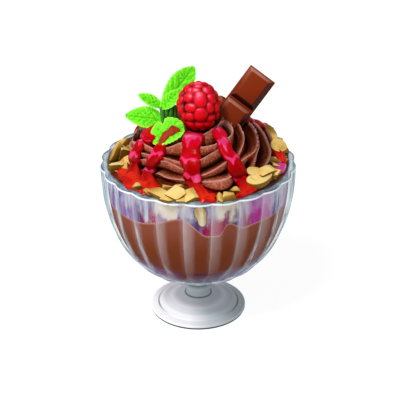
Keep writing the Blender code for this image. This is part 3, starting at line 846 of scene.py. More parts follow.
# %% Make the three layers
bottom = filling(
    "bottom_sauce_layer", even(BOWL_FLOOR + FLOOR_GAP), BOWL_FLOOR + FLOOR_GAP,
    bottom_level, BOTTOM_SAUCE_LEVEL, 8,
)
settle(bottom, bottom_look, "berry_sauce", "bottom_sauce")
mousse = filling(
    "mousse_layer", above(bottom_level), BOTTOM_SAUCE_LEVEL + LAYER_GAP,
    mousse_level, MOUSSE_HEART, 40,
)
points = points_of(mousse)
set_attribute(mousse, "under_edge", (mousse_level(polar(points)[1]) - points[:, 2]) / (10 * MM))
settle(mousse, mousse_look, "chocolate_mousse", "mousse")
berry_layer = filling(
    "berry_sauce_layer", above(mousse_level), MOUSSE_HEART + LAYER_GAP,
    sauce_level, SAUCE_LEVEL, 28,
)
NUTS_AT_WALL = [
    # angle in degrees, height, half width, half height in mm
    (-88.6, 79.6, 2.7, 3.2), (-87.6, 75.6, 2.0, 3.4), (62.0, 78.0, 3.0, 3.6),
    (151.0, 77.0, 2.6, 3.4),
]
STAINS_AT_WALL = {
    # angle from the right side in degrees, and half width
    "plum": [(69, 4), (94, 6), (128, 4)],
    "magenta": [(49, 9)],
    "crimson": [(59, 3), (79, 8), (121, 6)],
    "cream": [(71, 8), (109, 10)],
}
points = points_of(berry_layer) / MM
turns = np.degrees(polar(points)[1])
for name, stains in STAINS_AT_WALL.items():
    set_attribute(berry_layer, name, sum(bump(np.abs(turns), *stain) for stain in stains))
seen = np.zeros(len(points))
for turn, height, half_wide, half_tall in NUTS_AT_WALL:
    aside = ((turns - turn + 180) % 360 - 180) * math.radians(1) * INNER_RADIUS / MM
    off = np.hypot(aside / half_wide, (points[:, 2] - height) / half_tall)
    seen = np.maximum(seen, np.clip(1.5 - off, 0, 1))
set_attribute(berry_layer, "nut_at_wall", seen)
settle(berry_layer, berry_look, "berry_sauce", "berry_sauce")

# %% [markdown]
# ## The piped swirl: its strands
#
# A rosette is piped through a star nozzle, so its surface is a set of strands that climb round it
# from the foot to the peak. Each strand has a sharp upper edge, its crest. Above the crest the
# surface falls into a hollow, and then the next strand bulges out. The crests were read from the
# photo, each as a short line of places: the angle round the swirl, and how far up it, as a
# steepness from -24 degrees at the foot to 90 at the top. The back carries them on.

# %% Lines of the crests
SWIRL_X = 1.4 * MM
SWIRL_Y = 1.0 * MM
SWIRL_RADIUS = 37.2 * MM
SWIRL_WIDEST = 91.0 * MM
SWIRL_TOP = 107.4 * MM
SWIRL_SEAT = 84.9 * MM
FOOT_STEEP = -22.0
TOP_STEEP = 76.0
FULLNESS = 0.55
GROOVE = 5.0 * MM
STRANDS = [
    [(-43, -24), (-32, 1), (-17, 19), (-11, 34), (1, 52), (25, 66), (60, 80), (90, 90)],
    [(-54, -24), (-50, -8), (-46, 6), (-41, 26), (-38, 31), (-17, 48), (5, 62.5), (30, 73.5),
     (60, 83.5), (85, 90)],
    [(-185, -24), (-152, -14), (-136, -10), (-131, -3), (-119, -6), (-104, -3), (-88, 0),
     (-67, 4), (-62, 18), (-59, 25), (-50, 31), (-40, 33), (-17, 49), (-8, 56), (5, 63),
     (30, 74), (60, 84), (85, 90)],
    [(-215, -24), (-190, -8), (-165, 0), (-152, 6), (-148, 14), (-141, 14), (-134, 19),
     (-122, 22), (-111, 18), (-90, 9), (-79, 21), (-68, 32), (-56, 38), (-49, 47), (-38, 56),
     (-21, 69), (0, 77), (30, 85), (60, 90)],
    [(-250, -24), (-220, -8), (-190, 8), (-160, 20), (-140, 25), (-127, 27), (-111, 26),
     (-98, 29), (-90, 36), (-82, 45), (-72, 53), (-57, 63), (-31, 75), (-5, 82), (30, 90)],
    [(-285, -24), (-250, 0), (-220, 18), (-190, 31), (-181, 32), (-164, 34), (-151, 38),
     (-140, 36), (-129, 43), (-115, 58), (-92, 56), (-74, 60), (-57, 70), (-31, 80), (-5, 86),
     (20, 90)],
    [(-320, -24), (-285, 0), (-250, 25), (-220, 42), (-190, 52), (-164, 56), (-140, 60),
     (-115, 74), (-91, 75), (-69, 83), (-40, 88), (-10, 90)],
    [(-14, -24), (-2, 0), (12, 22), (30, 42), (60, 62), (100, 80), (130, 90)],
    [(14, -24), (28, 0), (45, 24), (70, 46), (105, 66), (150, 85), (170, 90)],
]
CREST_SOFTENING = (-3.0, -1.5, 0.0, 1.5, 3.0)
BELOW_ALL = -34.0
ABOVE_ALL = 96.0
NOWHERE = 999.0


def crest_heights(angle_deg):
    """The steepness of every crest at each angle, sorted upwards, with the two ends added."""
    rows = [np.full_like(angle_deg, end) for end in (BELOW_ALL, ABOVE_ALL)]
    for line in STRANDS:
        at, steep = zip(*line)
        for turn in (-360.0, 0.0, 360.0):
            place = angle_deg + turn
            here = np.mean([np.interp(place + o, at, steep) for o in CREST_SOFTENING], axis=0)
            rows.append(np.where((place < at[0]) | (place > at[-1]), NOWHERE, here))
    return np.sort(np.array(rows), axis=0)


def degree_length(steep):
    """How much surface one degree of steepness covers."""
    s = np.radians(np.clip(steep, -24, 84))
    up = (SWIRL_TOP - SWIRL_WIDEST) * np.cos(s)
    inwards = SWIRL_RADIUS * FULLNESS * np.cos(s) ** (FULLNESS - 1) * np.sin(s)
    return np.hypot(up, inwards) * math.radians(1.0)


GROOVE_SHARE = 0.62
HOLLOW_SHARE = 0.29
OPEN_SIDE = (8, 50)
OPEN_SIDE_SHARE = 0.30
OPEN_SIDE_GROOVE = 2.0 * MM
OPEN_SIDE_SHADE = 0.95
BULGE_POWER = 0.42
LIP_RISE = 0.45 * MM
LIP_WIDTH = 0.36 * MM
LIP_FULL_AT = 2.0 * MM
LINE_DEPTH = 1.1 * MM
PETAL_POWER = 2.6


def relief(angle_deg, steep):
    """Depth under the smooth form, closeness to a crest's line, and how shaded it is."""
    crests = crest_heights(angle_deg)
    over = crests > steep
    next_up = np.min(np.where(over, crests, ABOVE_ALL), axis=0)
    next_down = np.max(np.where(over, BELOW_ALL, crests), axis=0)
    width = np.maximum(next_up - next_down, 1e-3)
    share = (steep - next_down) / width
    length = degree_length(steep)
    # On the right the strands stand open like petals, with wider and deeper hollows.
    opened = bump(angle_deg, *OPEN_SIDE)
    deepest = np.minimum(GROOVE + OPEN_SIDE_GROOVE * opened, GROOVE_SHARE * width * length)
    hollow_share = HOLLOW_SHARE + OPEN_SIDE_SHARE * opened
    falling = np.sin(np.clip(share / hollow_share, 0, 1) * math.pi / 2) ** 0.8
    rise_share = np.clip((share - hollow_share) / (1 - hollow_share), 0, 1)
    rising = 1 - rise_share ** (BULGE_POWER + PETAL_POWER * opened)
    hollow = np.where(share < hollow_share, falling, rising)
    nearest = np.minimum(steep - next_down, next_up - steep) * length
    crest = np.exp(-((nearest / LIP_WIDTH) ** 2)) * np.clip(deepest / LIP_FULL_AT, 0, 1)
    depth = deepest * hollow - LIP_RISE * crest
    line = crest * np.clip(1 - deepest * hollow / LINE_DEPTH, 0, 1)
    # On the open right side the petals are painted dark as shade, all but the crest line.
    shaded = OPEN_SIDE_SHADE * opened * (1 - line) ** 0.5
    return depth, line, np.maximum(hollow * deepest / GROOVE, shaded)


def swirl_outline(angle_deg):
    """The swirl's reach as a share of its radius: the photo shows it flattened at three places."""
    flatter = [(0.13, -122, 30), (0.03, 158, 30), (0.02, 60, 40)]
    return 1.0 - sum(less * bump(angle_deg, middle, half) for less, middle, half in flatter)


LOW_PETAL = (-76.0, 11)
LOW_PETAL_BULGE = 6.4 * MM


def swirl_place(angle_deg, steep, depth):
    """A point of the swirl, a depth under its smooth form. One low petal bulges at the front."""
    a, s = np.radians(angle_deg), np.radians(steep)
    radius = SWIRL_RADIUS * swirl_outline(angle_deg) * np.cos(s) ** FULLNESS
    low = np.clip((3 - steep) / 12, 0, 1)
    radius = radius + LOW_PETAL_BULGE * bump(angle_deg, *LOW_PETAL) * low - depth * np.cos(s)
    height = SWIRL_WIDEST + (SWIRL_TOP - SWIRL_WIDEST) * np.sin(s) - depth * np.sin(s)
    return np.stack([SWIRL_X + radius * np.cos(a), SWIRL_Y + radius * np.sin(a), height], axis=-1)


CURLS = [
    # middle, half sizes, way in, how deep, rise of the rim, all in mm
    ((-28.4, -3.6, 102.2), (5.6, 6.6, 6.0), (0.05, 0.30, -0.95), 5.0, 1.4),
    ((13.2, -10.6, 106.7), (3.7, 7.4, 5.4), (-0.20, 0.40, -0.88), 4.0, 1.4),
]
CURL_RIM = 0.09
CALM_OUT_TO = 1.36
CALM_FADE = 0.26


def curled(points, plain, bridged=False):
    """Opens the cups between curled petals. The plain points are those of the smooth form.

    It also gives how close each point is to a rim, how deep it lies in the shade of a cup, and
    how calm the surface round a cup is. What bridges a cup only follows the calm form.
    """
    rim, shade, calm = (np.zeros(points.shape[:-1]) for i in range(3))
    for middle, half, inwards, deep, rise in CURLS:
        share = np.linalg.norm((plain / MM - middle) / half, axis=-1)
        flat = np.clip((CALM_OUT_TO - share) / CALM_FADE, 0, 1)
        flat = flat * flat * (3 - 2 * flat)
        dent = np.clip(1 - share ** 3, 0, 1) ** 0.5
        lip = np.exp(-(((share - 1) / CURL_RIM) ** 2))
        points = points * (1 - flat[..., None]) + plain * flat[..., None]
        if not bridged:
            points = points + (deep * dent - rise * lip)[..., None] * np.array(inwards) * MM
        rim = np.maximum(rim, lip)
        shade = np.maximum(shade, np.clip(1.5 * dent, 0, 1))
        calm = np.maximum(calm, flat)
    return points, rim, shade, calm


print("strands of the swirl:", len(STRANDS))

# %% [markdown]
# ## The piped swirl: form
#
# The swirl starts as a finely divided sphere. Its rings become rows that climb the smooth form,
# and the last rows become the soft peak that the nozzle leaves when it is pulled away. Then the
# strands are pressed in, and two cups are opened between petals that curl. Two attributes
# remember where the crests and the hollows are, for a painted highlight on the crests and cup rims
# and painted shade in the hollows, the cups and the open petals at the right.

# %% Shape the swirl
SWIRL_SEGMENTS = 480
SWIRL_RINGS = 204
PEAK_STARTS = 0.80
PEAK = [
    # share of the way to the tip, radius, height, in mm
    (0.0, 17.05, 106.9), (0.16, 13.5, 108.2), (0.42, 9.5, 109.8), (0.68, 6.8, 112.2),
    (0.90, 4.0, 114.8), (1.0, 0.0, 116.2),
]
PEAK_TIP_X = 11.5 * MM
PEAK_TIP_Y = 13.0 * MM
PEAK_TWIST = 60
PEAK_STEEPENS = 14
WANDER = 0.25 * MM

swirl = sphere("piped_mousse_swirl", SWIRL_SEGMENTS, SWIRL_RINGS)
ball = points_of(swirl)
angle = np.degrees(polar(ball)[1])
climb = (np.degrees(np.arcsin(np.clip(ball[:, 2], -1, 1))) + 90) / 180
first = 1 / SWIRL_RINGS
up = np.clip((climb - first) / (PEAK_STARTS - first), 0, 1)
steep = FOOT_STEEP + up * (TOP_STEEP - FOOT_STEEP)
towards_tip = np.clip((climb - PEAK_STARTS) / (1 - PEAK_STARTS), 0, 1)
depth, crest, hollow = relief(angle, steep + PEAK_STEEPENS * towards_tip)
waves = [np.sin(np.radians(angle * turns + steep * rise)) for turns, rise in ((7, 5), (13, -9))]
share, peak_r, peak_z = (np.array(c) for c in zip(*PEAK))
reach = np.interp(towards_tip, np.linspace(0, 1, len(PEAK)), share)
middle_x = SWIRL_X + (PEAK_TIP_X - SWIRL_X) * reach
middle_y = SWIRL_Y + (PEAK_TIP_Y - SWIRL_Y) * reach
peak_turn = np.radians(angle + PEAK_TWIST * reach)


def swirl_points(depth):
    """All points of the swirl and its peak, a depth under the smooth form."""
    body = swirl_place(angle, steep, depth)
    body[:, 2] = np.maximum(body[:, 2], SWIRL_SEAT)
    body[ball[:, 2] < -0.99999] = (SWIRL_X, SWIRL_Y, SWIRL_SEAT)
    radius = np.interp(reach, share, peak_r) * MM
    sunk = depth * np.clip(radius / (peak_r[0] * MM), 0, 1)
    radius = radius - sunk * math.cos(math.radians(TOP_STEEP))
    height = np.interp(reach, share, peak_z) * MM - sunk * math.sin(math.radians(TOP_STEEP))
    x, y = middle_x + radius * np.cos(peak_turn), middle_y + radius * np.sin(peak_turn)
    return np.where((towards_tip > 0)[:, None], np.stack([x, y, height], axis=1), body)


pressed = swirl_points(depth + WANDER * sum(waves))
shaped, rim, shade, calm = curled(pressed, swirl_points(0 * depth))
set_points(swirl, shaped)
# crest marks where a highlight is painted, on crest lines and cup rims; hollow marks painted shade.
set_attribute(swirl, "crest", np.maximum(crest * (1 - calm), rim))
set_attribute(swirl, "hollow", np.maximum(hollow * (1 - 0.6 * calm), shade))
smooth(swirl)

# %% [markdown]
# ## The piped swirl: finish
#
# Whipped chocolate mousse is matt with very fine pores. Its thin crests carry a painted pale,
# almost pink highlight, painted shade darkens its hollows, and pale painted glints sit on the
# pores where the surface is open to the light. The pores are a fine noise of about half a
# millimetre.

# %% Whipped mousse
PORE = 0.65 * MM
PORE_DEPTH = 0.3 * MM
CREST_HIGHLIGHT = 0.85
swirl_look = finish("whipped_chocolate_mousse", Roughness=0.6, Specular_IOR_Level=0.03)
grain = noise(swirl_look, position(swirl_look)[0], 1 / (2 * PORE))
hollow_shade = kept(swirl_look, "hollow")
# Painted shade: from the lit mousse colour on open faces to near black deep in hollows and cups.
colour = ramp(
    swirl_look, hollow_shade,
    [(0.0, "B4604A"), (0.25, "9A4628"), (0.55, "5E1E06"), (0.90, "340C02")],
)
# Painted highlight: pale glints on the pores, only where the surface is open to the light.
pore_highlight = ramp(swirl_look, grain, [(0.0, 0.0), (0.49, 0.0), (0.64, 0.7)])
open_to_light = ramp(swirl_look, hollow_shade, [(0.1, 1.0), (0.5, 0.2), (0.8, 0.0)])
colour = blend(swirl_look, product(swirl_look, pore_highlight, open_to_light), colour, "D08A74")
# Painted highlight, almost pink, along the crest lines and the rims of the cups.
crest_highlight = product(swirl_look, kept(swirl_look, "crest"), CREST_HIGHLIGHT)
feed(swirl_look, "Base Color", blend(swirl_look, crest_highlight, colour, "F0AC9C"))
pores = {"Height": grain, "Strength": 0.6, "Distance": PORE_DEPTH}
feed(swirl_look, "Normal", add(swirl_look, "ShaderNodeBump", pores).outputs["Normal"])
settle(swirl, swirl_look, "chocolate_mousse", "piped_swirl")

# %% [markdown]
# ## The red sauce on the swirl
#
# The sauce is poured over the top and runs down in thick streams. A stream sags into the hollows
# only in part, so it is laid over a softened relief, and it bridges the two cups. Each is a grid
# whose rows go down the swirl and whose left and right ends follow the photo. It is lifted off the
# mousse with a round section, and Solidify gives it a closed body that reaches into the mousse.

# %% Streams of sauce
STREAMS = {
    # rows from the top down: left angle, right angle, steepness
    "middle": [(-128, -86, 80), (-116, -89, 66), (-111, -92, 53), (-108, -91, 38),
               (-110, -91, 30), (-104, -91, 16), (-104, -90, 1), (-101, -89, -8),
               (-98, -82, -18), (-96, -79, -24)],
    "right": [(-66, -38, 85), (-69, -49, 76), (-72, -57, 63), (-72, -60, 48), (-69, -57, 34),
              (-68, -56, 20), (-66, -53, 2), (-62, -46, -13), (-62, -42, -24)],
    "leaf": [(-141, -130, 52), (-139, -127, 32), (-140, -126, 25), (-141, -132, 10),
             (-144, -133, -3), (-148, -136, -13), (-149, -134, -24)],
    "left": [(-164, -153, 40), (-161, -151, 26), (-164, -150, 12), (-168, -151, -7),
             (-167, -146, -18), (-167, -144, -24)],
    "cup": [(-176, -150, 66), (-173, -147, 56), (-168, -147, 47), (-162, -149, 40)],
    "back_right": [(4, 34, 74), (8, 30, 64), (12, 27, 50), (16, 30, 30), (18, 33, 8),
                   (20, 38, -24)],
    "back": [(96, 130, 76), (100, 122, 60), (104, 121, 38), (106, 124, 14), (110, 132, -24)],
    "back_left": [(-215, -190, 70), (-212, -194, 50), (-214, -198, 26), (-216, -196, 4),
                  (-220, -196, -24)],
}
GLINTS = {
    # upper end, lower end of the drip, both as steepness, and where across the drip hangs
    "middle": [(74, 51, -0.25), (36, 25, -0.35), (12, -8, 0.35)],
    "right": [(84, 74, 0.0), (66, 45, -0.1), (38, 24, -0.3), (2, -13, 0.2)],
    "leaf": [(34, 18, -0.6), (2, -14, 0.2)],
    "left": [(40, 29, 0.3), (20, 1, -0.3), (-14, -22, 0.2)],
    "cup": [(45, 41, 0.4)],
    "back_right": [(60, 50, 0.2), (26, 14, -0.2)],
    "back": [(64, 52, 0.2), (30, 16, -0.3), (-4, -14, 0.2)],
    "back_left": [(56, 44, 0.1), (22, 8, -0.2)],
}
STREAM_THICK = 1.5 * MM
STREAM_SINK = 0.6 * MM
STREAM_BODY = 2.6 * MM
STREAM_SAG = 0.5
STREAM_WIDER = 1.16
STREAM_EASE = 13
STREAM_EDGE_EASE = 19
STREAM_ROWS = 160
STREAM_COLUMNS = 28
STREAM_SMOOTHING = 8
RELIEF_WINDOW = (-8.0, -5.0, -2.5, 0.0, 2.5, 5.0, 8.0)


def glint(across, steep, marks):
    """1 where light glows through a flat, thick part, with an edge that drips."""
    lit = np.zeros_like(across)
    for top, bottom, drip in marks:
        hang = 0.40 + 0.60 * np.exp(-(((across - drip) / 0.26) ** 2))
        hang += 0.10 * np.sin(across * 11 + top)
        under = (steep - (top - (top - bottom) * hang)) / 2.4
        over = (top + 2.0 * np.sin(across * 5 + bottom) - steep) / 2.4
        side = (0.84 - np.abs(across)) / 0.10
        lit = np.maximum(lit, np.clip(np.minimum(np.minimum(under, over), side), 0, 1))
    return lit


def sagging(angle_deg, steep):
    """The swirl's relief as a thick sauce follows it: it rests on crests and sags between."""
    depths = np.array([relief(angle_deg, steep + o)[0] for o in RELIEF_WINDOW]) / MM
    near_crests = -np.log(np.sum(np.exp(-depths / STREAM_SAG), axis=0)) * STREAM_SAG
    return (near_crests + STREAM_SAG) * MM


def eased(values, window=STREAM_EASE):
    """A row of values with its corners rounded."""
    weights = np.hanning(window + 2)[1:-1]
    padded = np.pad(values, window // 2, mode="reflect", reflect_type="odd")
    return np.convolve(padded, weights / weights.sum(), mode="valid")


def ribbon_depth(left, right, steep):
    """Depth of the ribbon along its way: it rests on the highest crest across its width."""
    middle, half = (left + right) / 2, (right - left) / 2
    across = [sagging(middle + half * o, steep) for o in (-0.8, -0.4, 0.0, 0.4, 0.8)]
    return eased(0.75 * np.min(across, axis=0) + 0.25 * np.mean(across, axis=0))


def stream(name, rows):
    piece, across, up = sheet("stream_" + name, STREAM_COLUMNS, STREAM_ROWS)
    along = (1 - up) / 2
    place = np.linspace(0, 1, len(rows))
    way = np.linspace(0, 1, STREAM_ROWS + 1)
    on_way = [eased(np.interp(way, place, c), STREAM_EDGE_EASE) for c in zip(*rows)]
    left, right, steep = (np.interp(along, way, values) for values in on_way)
    depth = np.interp(along, way, ribbon_depth(*on_way))
    waver = 0.06 * np.sin(along * 23 + len(name)) + 0.04 * np.sin(along * 41 + 1)
    middle, half = (left + right) / 2, (right - left) / 2 * (1 + waver) * STREAM_WIDER
    angle = middle + half * across
    ends = np.clip(np.minimum(along, 1 - along) * 14, 0, 1) ** 0.5
    section = np.sqrt(np.clip(1 - across ** 6, 0, 1)) * ends
    lift = STREAM_THICK * section - STREAM_SINK * (1 - section)
    smooth_form = swirl_place(angle, steep, -lift)
    set_points(piece, curled(swirl_place(angle, steep, depth - lift), smooth_form, True)[0])
    set_attribute(piece, "glint", glint(across, steep, GLINTS[name]))
    thicken(piece, STREAM_BODY, smoothing=STREAM_SMOOTHING)
    return piece


streams = joined("sauce_streams", [stream(name, rows) for name, rows in STREAMS.items()])
tidy_shell(streams)
smooth(streams)

# %% [markdown]
# ## Finish of the red sauce
#
# A strained strawberry sauce is deep red and wet. It is painted lighter where it faces up and
# darker where it faces down, as lit from above. Light that enters it leaves again pink where a
# thick part lies flat under the lamps; these pink patches are painted glints, and they end in
# drips as the sauce does.

# %% Strawberry sauce
sauce_look = finish("strained_strawberry_sauce", Roughness=0.20, Specular_IOR_Level=0.05)
uneven = noise(sauce_look, position(sauce_look)[0], 210.0, 1.0)
# Painted light: lighter red where the sauce faces up, darker where it faces down.
deep = ramp(
    sauce_look, wobbled(sauce_look, facing_up(sauce_look), uneven, 0.5),
    [(0.0, "8E0002"), (0.45, "AC0004"), (0.75, "C60006"), (1.0, "DE0A2C")],
)
glow = ramp(sauce_look, uneven, [(0.3, "F02A60"), (0.6, "F04080"), (0.75, "F47AA0")])
feed(sauce_look, "Base Color", blend(sauce_look, kept(sauce_look, "glint"), deep, glow))
settle(streams, sauce_look, "berry_sauce")

# %% [markdown]
# ## Chopped peanuts: the kinds
#
# Roasted peanuts break into halves with a flat face and a round back, into angular chunks, and
# into crumbs. Each kind is modelled once, one unit in half-size, from a primitive that is cut
# with planes and then loses its sharp edges to a bevel.

# %% Cut the kinds
NUT_EDGE = 0.05
HALF_NUT_CUT = 0.12
HALF_NUT_TAPER = 0.16


def cut_by(piece, planes):
    """Cuts the selected form with planes, each a point and a normal, and closes the cuts."""
    bpy.ops.object.mode_set(mode="EDIT")
    for point, normal in planes:
        bpy.ops.mesh.select_all(action="SELECT")
        bpy.ops.mesh.bisect(plane_co=point, plane_no=normal, use_fill=True, clear_outer=True)
    bpy.ops.object.mode_set(mode="OBJECT")


def soft_edges(piece, width, segments=2, angle_deg=25):
    edges = piece.modifiers.new("soft_edges", "BEVEL")
    edges.width = width
    edges.segments = segments
    edges.limit_method = "ANGLE"
    edges.angle_limit = math.radians(angle_deg)
    apply_modifiers(piece)


def broken_chunk(name, planes):
    piece = cube(name, 2.0)
    cut_by(piece, planes)
    soft_edges(piece, NUT_EDGE)
    return piece


def half_nut(name):
    """A flat face above a round back, slightly narrower at one end."""
    piece = sphere(name, 28, 16)
    cut_by(piece, [((0, 0, HALF_NUT_CUT), (0, 0, 1))])
    soft_edges(piece, NUT_EDGE, 2, 40)
    points = points_of(piece)
    points[:, 1] *= 1 - HALF_NUT_TAPER * points[:, 0]
    points[:, 2] = (points[:, 2] + (1 - HALF_NUT_CUT) / 2) / ((1 + HALF_NUT_CUT) / 2)
    set_points(piece, points)
    return piece


def flat_diamond(name):
    nothing_selected()
    bpy.ops.mesh.primitive_cylinder_add(vertices=4, radius=1.0, depth=2.0)
    piece = made(name)
    cut_by(piece, [((0.86, 0, 0), (1, 0.1, 0.2)), ((0, -0.88, 0), (0.15, -1, 0))])
    soft_edges(piece, NUT_EDGE)
    return piece


KINDS = {
    "half": half_nut("kind_half"),
    "diamond": flat_diamond("kind_diamond"),
    "wedge": broken_chunk("kind_wedge", [
        ((0.3, 0.2, 0.5), (0.5, 0.3, 0.8)), ((-0.6, 0, 0), (-1, 0.4, 0.2)),
        ((0, -0.6, 0.1), (0.2, -1, 0.4)), ((0.5, 0.6, 0), (0.6, 0.8, -0.2)),
    ]),
    "block": broken_chunk("kind_block", [
        ((0.7, 0, 0.6), (1, 0.1, 0.7)), ((-0.7, 0.3, 0.4), (-1, 0.5, 0.5)),
        ((0, 0.8, 0), (0.1, 1, 0.3)), ((-0.2, -0.7, -0.4), (-0.3, -1, -0.6)),
    ]),
    "shard": broken_chunk("kind_shard", [
        ((0.2, 0, 0.5), (0.7, -0.2, 1)), ((-0.3, 0.5, 0), (-0.7, 1, 0.1)),
        ((0.6, -0.3, 0), (1, -0.9, 0)), ((-0.5, -0.5, -0.3), (-0.8, -0.7, -0.7)),
    ]),
}
print("kinds of nut:", ", ".join(KINDS))

# %% [markdown]
# ## Chopped peanuts: where they lie
#
# The large ones at the front follow the photo. The rest are strewn by a seeded chance round the
# foot of the swirl, in the ring between it and the glass, except where the sauce runs. A nut that
# reaches over the wall lies on top of the rim.

# %% Lay the nuts out
LAID = [
    # kind, place, length, depth and thickness in mm, turn, tilt to the front, roll in degrees
    ("diamond", (-10.2, -44.4, 88.8), (12.2, 9.4, 3.0), 4, 24, -4),
    ("block", (-17.6, -42.6, 87.8), (11.6, 7.0, 5.0), -26, 24, 8),
    ("wedge", (-15.4, -40.0, 89.4), (6.4, 5.0, 5.4), 30, 16, 0),
    ("wedge", (-9.6, -39.4, 89.2), (6.4, 5.4, 4.6), 70, 16, 0),
    ("block", (-4.2, -44.0, 88.2), (7.0, 8.8, 4.2), 24, 28, -14),
    ("shard", (-5.6, -46.6, 87.2), (9.8, 4.6, 2.4), 8, 12, 0),
    ("shard", (-13.6, -46.0, 87.2), (8.4, 4.4, 2.6), -8, 14, 0),
    ("shard", (-22.0, -41.2, 87.6), (7.4, 5.0, 3.2), -34, 14, 6),
    ("block", (-29.2, -35.6, 88.8), (4.2, 3.8, 3.2), 20, 10, 5),
    ("half", (29.8, -31.6, 89.2), (14.2, 9.0, 5.6), 34, 10, -2),
    ("half", (30.6, -29.6, 91.0), (11.4, 7.4, 3.4), 30, 14, 2),
    ("half", (27.2, -27.6, 92.0), (8.0, 6.2, 3.0), 12, 16, 8),
    ("block", (32.6, -27.2, 92.9), (9.4, 7.4, 3.4), 36, 14, 0),
    ("block", (37.6, -26.4, 91.4), (5.4, 5.0, 3.4), 60, 16, -8),
    ("wedge", (13.6, -45.0, 87.9), (7.6, 5.6, 4.0), 20, 26, -12),
    ("shard", (10.4, -45.4, 87.4), (5.6, 4.2, 3.0), 60, 26, 18),
    ("block", (17.8, -40.2, 88.9), (4.2, 3.8, 3.4), 12, 18, 6),
    ("wedge", (34.0, 23.6, 94.8), (5.6, 5.2, 4.4), 60, 20, 8),
    ("half", (36.8, 15.2, 93.0), (12.0, 6.4, 5.0), 108, 24, 10),
    ("half", (40.4, 3.0, 91.6), (9.0, 8.6, 5.0), 96, 26, 10),
    ("wedge", (37.2, -7.6, 89.2), (6.6, 6.4, 5.0), 130, 10, 0),
    ("shard", (38.4, -12.6, 88.6), (6.0, 6.0, 5.0), 70, 8, 0),
    ("half", (-40.4, -2.0, 91.2), (12.0, 6.4, 5.0), 8, 20, -66),
    ("wedge", (-37.4, -2.0, 91.2), (7.6, 7.6, 9.6), 20, 30, 4),
    ("block", (-35.4, -7.4, 88.8), (7.0, 6.6, 5.6), 40, 34, 0),
    ("shard", (-40.4, -12.0, 88.6), (6.4, 5.8, 5.6), 140, 24, 6),
    ("wedge", (-36.0, -13.6, 87.8), (5.6, 6.4, 6.0), 200, 20, -6),
    ("wedge", (-38.4, 18.0, 87.4), (7.0, 6.4, 6.0), 160, 4, 0),
]
NUT_SEED = 23
STREWN = 140
GOLDEN_SHARE = 0.618034
RING_INSIDE = 31.0
RING_OUTSIDE = 46.0
GLASS_INSIDE = 45.2
OVER_THE_RIM = 1.4
OFF_THE_GLASS = 0.4
SAUCE_SECTORS = [(-156, -112), (-100, -50), (-22, -2)]
halves, chunks = [], []


def lay(kind, place, size, turn, tilt, roll):
    """Sets down a copy of a kind, with its size and place in millimetres, turns in degrees."""
    template = KINDS[kind]
    piece = template.copy()
    piece.data = template.data.copy()
    bpy.context.scene.collection.objects.link(piece)
    form = Matrix.Diagonal((*[s * MM / 2 for s in size], 1.0))
    spin = Matrix.Rotation(math.radians(turn), 4, "Z")
    lean = Matrix.Rotation(math.radians(tilt), 4, "X") @ Matrix.Rotation(math.radians(roll), 4, "Y")
    piece.matrix_world = Matrix.Translation(Vector(place) * MM) @ lean @ spin @ form
    apply_place(piece)
    (halves if kind == "half" else chunks).append(piece)


for entry in LAID:
    lay(*entry)
chance = random.Random(NUT_SEED)
for i in range(STREWN):
    around = 2 * math.pi * (i * GOLDEN_SHARE % 1.0)
    out = RING_INSIDE + (RING_OUTSIDE - RING_INSIDE) * chance.random() ** 0.6
    behind = math.sin(around) > 0.1 and math.cos(around) > -0.6
    length = chance.uniform(5.0, 8.4)
    lowest, highest = (85.2, 89.0) if behind else (84.0, 85.6)
    place = (out * math.cos(around), out * math.sin(around), chance.uniform(lowest, highest))
    size = (length, length * chance.uniform(0.7, 0.9), length * chance.uniform(0.45, 0.7))
    kind = chance.choice(["wedge", "block", "shard", "block", "wedge", "half"])
    outer_end = RING_OUTSIDE + OVER_THE_RIM if behind else GLASS_INSIDE - OFF_THE_GLASS
    reach = (outer_end - length / 2) / max(out, 1)
    if reach < 1:
        place = (place[0] * reach, place[1] * reach, place[2])
    if math.hypot(place[0], place[1]) + length / 2 > GLASS_INSIDE:
        place = (place[0], place[1], max(place[2], RIM_HEIGHT / MM + 0.4 + 0.6 * size[2]))
    turn, tilt, roll = chance.uniform(0, 360), chance.uniform(-24, 24), chance.uniform(-24, 24)
    heading = (math.degrees(around) + 180) % 360 - 180
    if not any(low < heading < high for low, high in SAUCE_SECTORS):
        lay(kind, place, size, turn, tilt, roll)
for template in KINDS.values():
    bpy.data.objects.remove(template)

nut_bed = filling(
    "peanut_bed", above(sauce_level), SAUCE_LEVEL + LAYER_GAP, even(HEAP_LEVEL), HEAP_LEVEL, 4
)
nut_halves = joined("peanut_halves", halves)
smooth(nut_halves, 35.0)
nut_chunks = joined("peanut_chunks", chunks)
smooth(nut_chunks, 35.0)

# %% [markdown]
# ## Finish of the peanuts
#
# Dry-roasted peanuts are matt. They are painted pale gold where a face looks up and catches the
# light, and golden brown with an olive cast below, as painted shade. Some are roasted a little
# darker than others. The bed under them is soaked with sauce.

# %% Roasted peanut
nut_look = finish("roasted_peanut", Roughness=0.6, Specular_IOR_Level=0.12)
place = position(nut_look)[0]
# Painted light and shade: pale gold on faces that look up, olive brown on faces that look down.
colour = ramp(
    nut_look, wobbled(nut_look, facing_up(nut_look), noise(nut_look, place, 240.0, 3.0), 0.7),
    [(0.0, "7A5A14"), (0.3, "BE9440"), (0.58, "E6B65E"), (0.8, "FFD67C"), (1.0, "FFE292")],
)
roast = ramp(
    nut_look, noise(nut_look, place, 75.0), [(0.36, "C4AC80"), (0.5, "F4ECDC"), (0.6, "FFFFFF")]
)
feed(nut_look, "Base Color", blend(nut_look, 1.0, colour, roast, "MULTIPLY"))

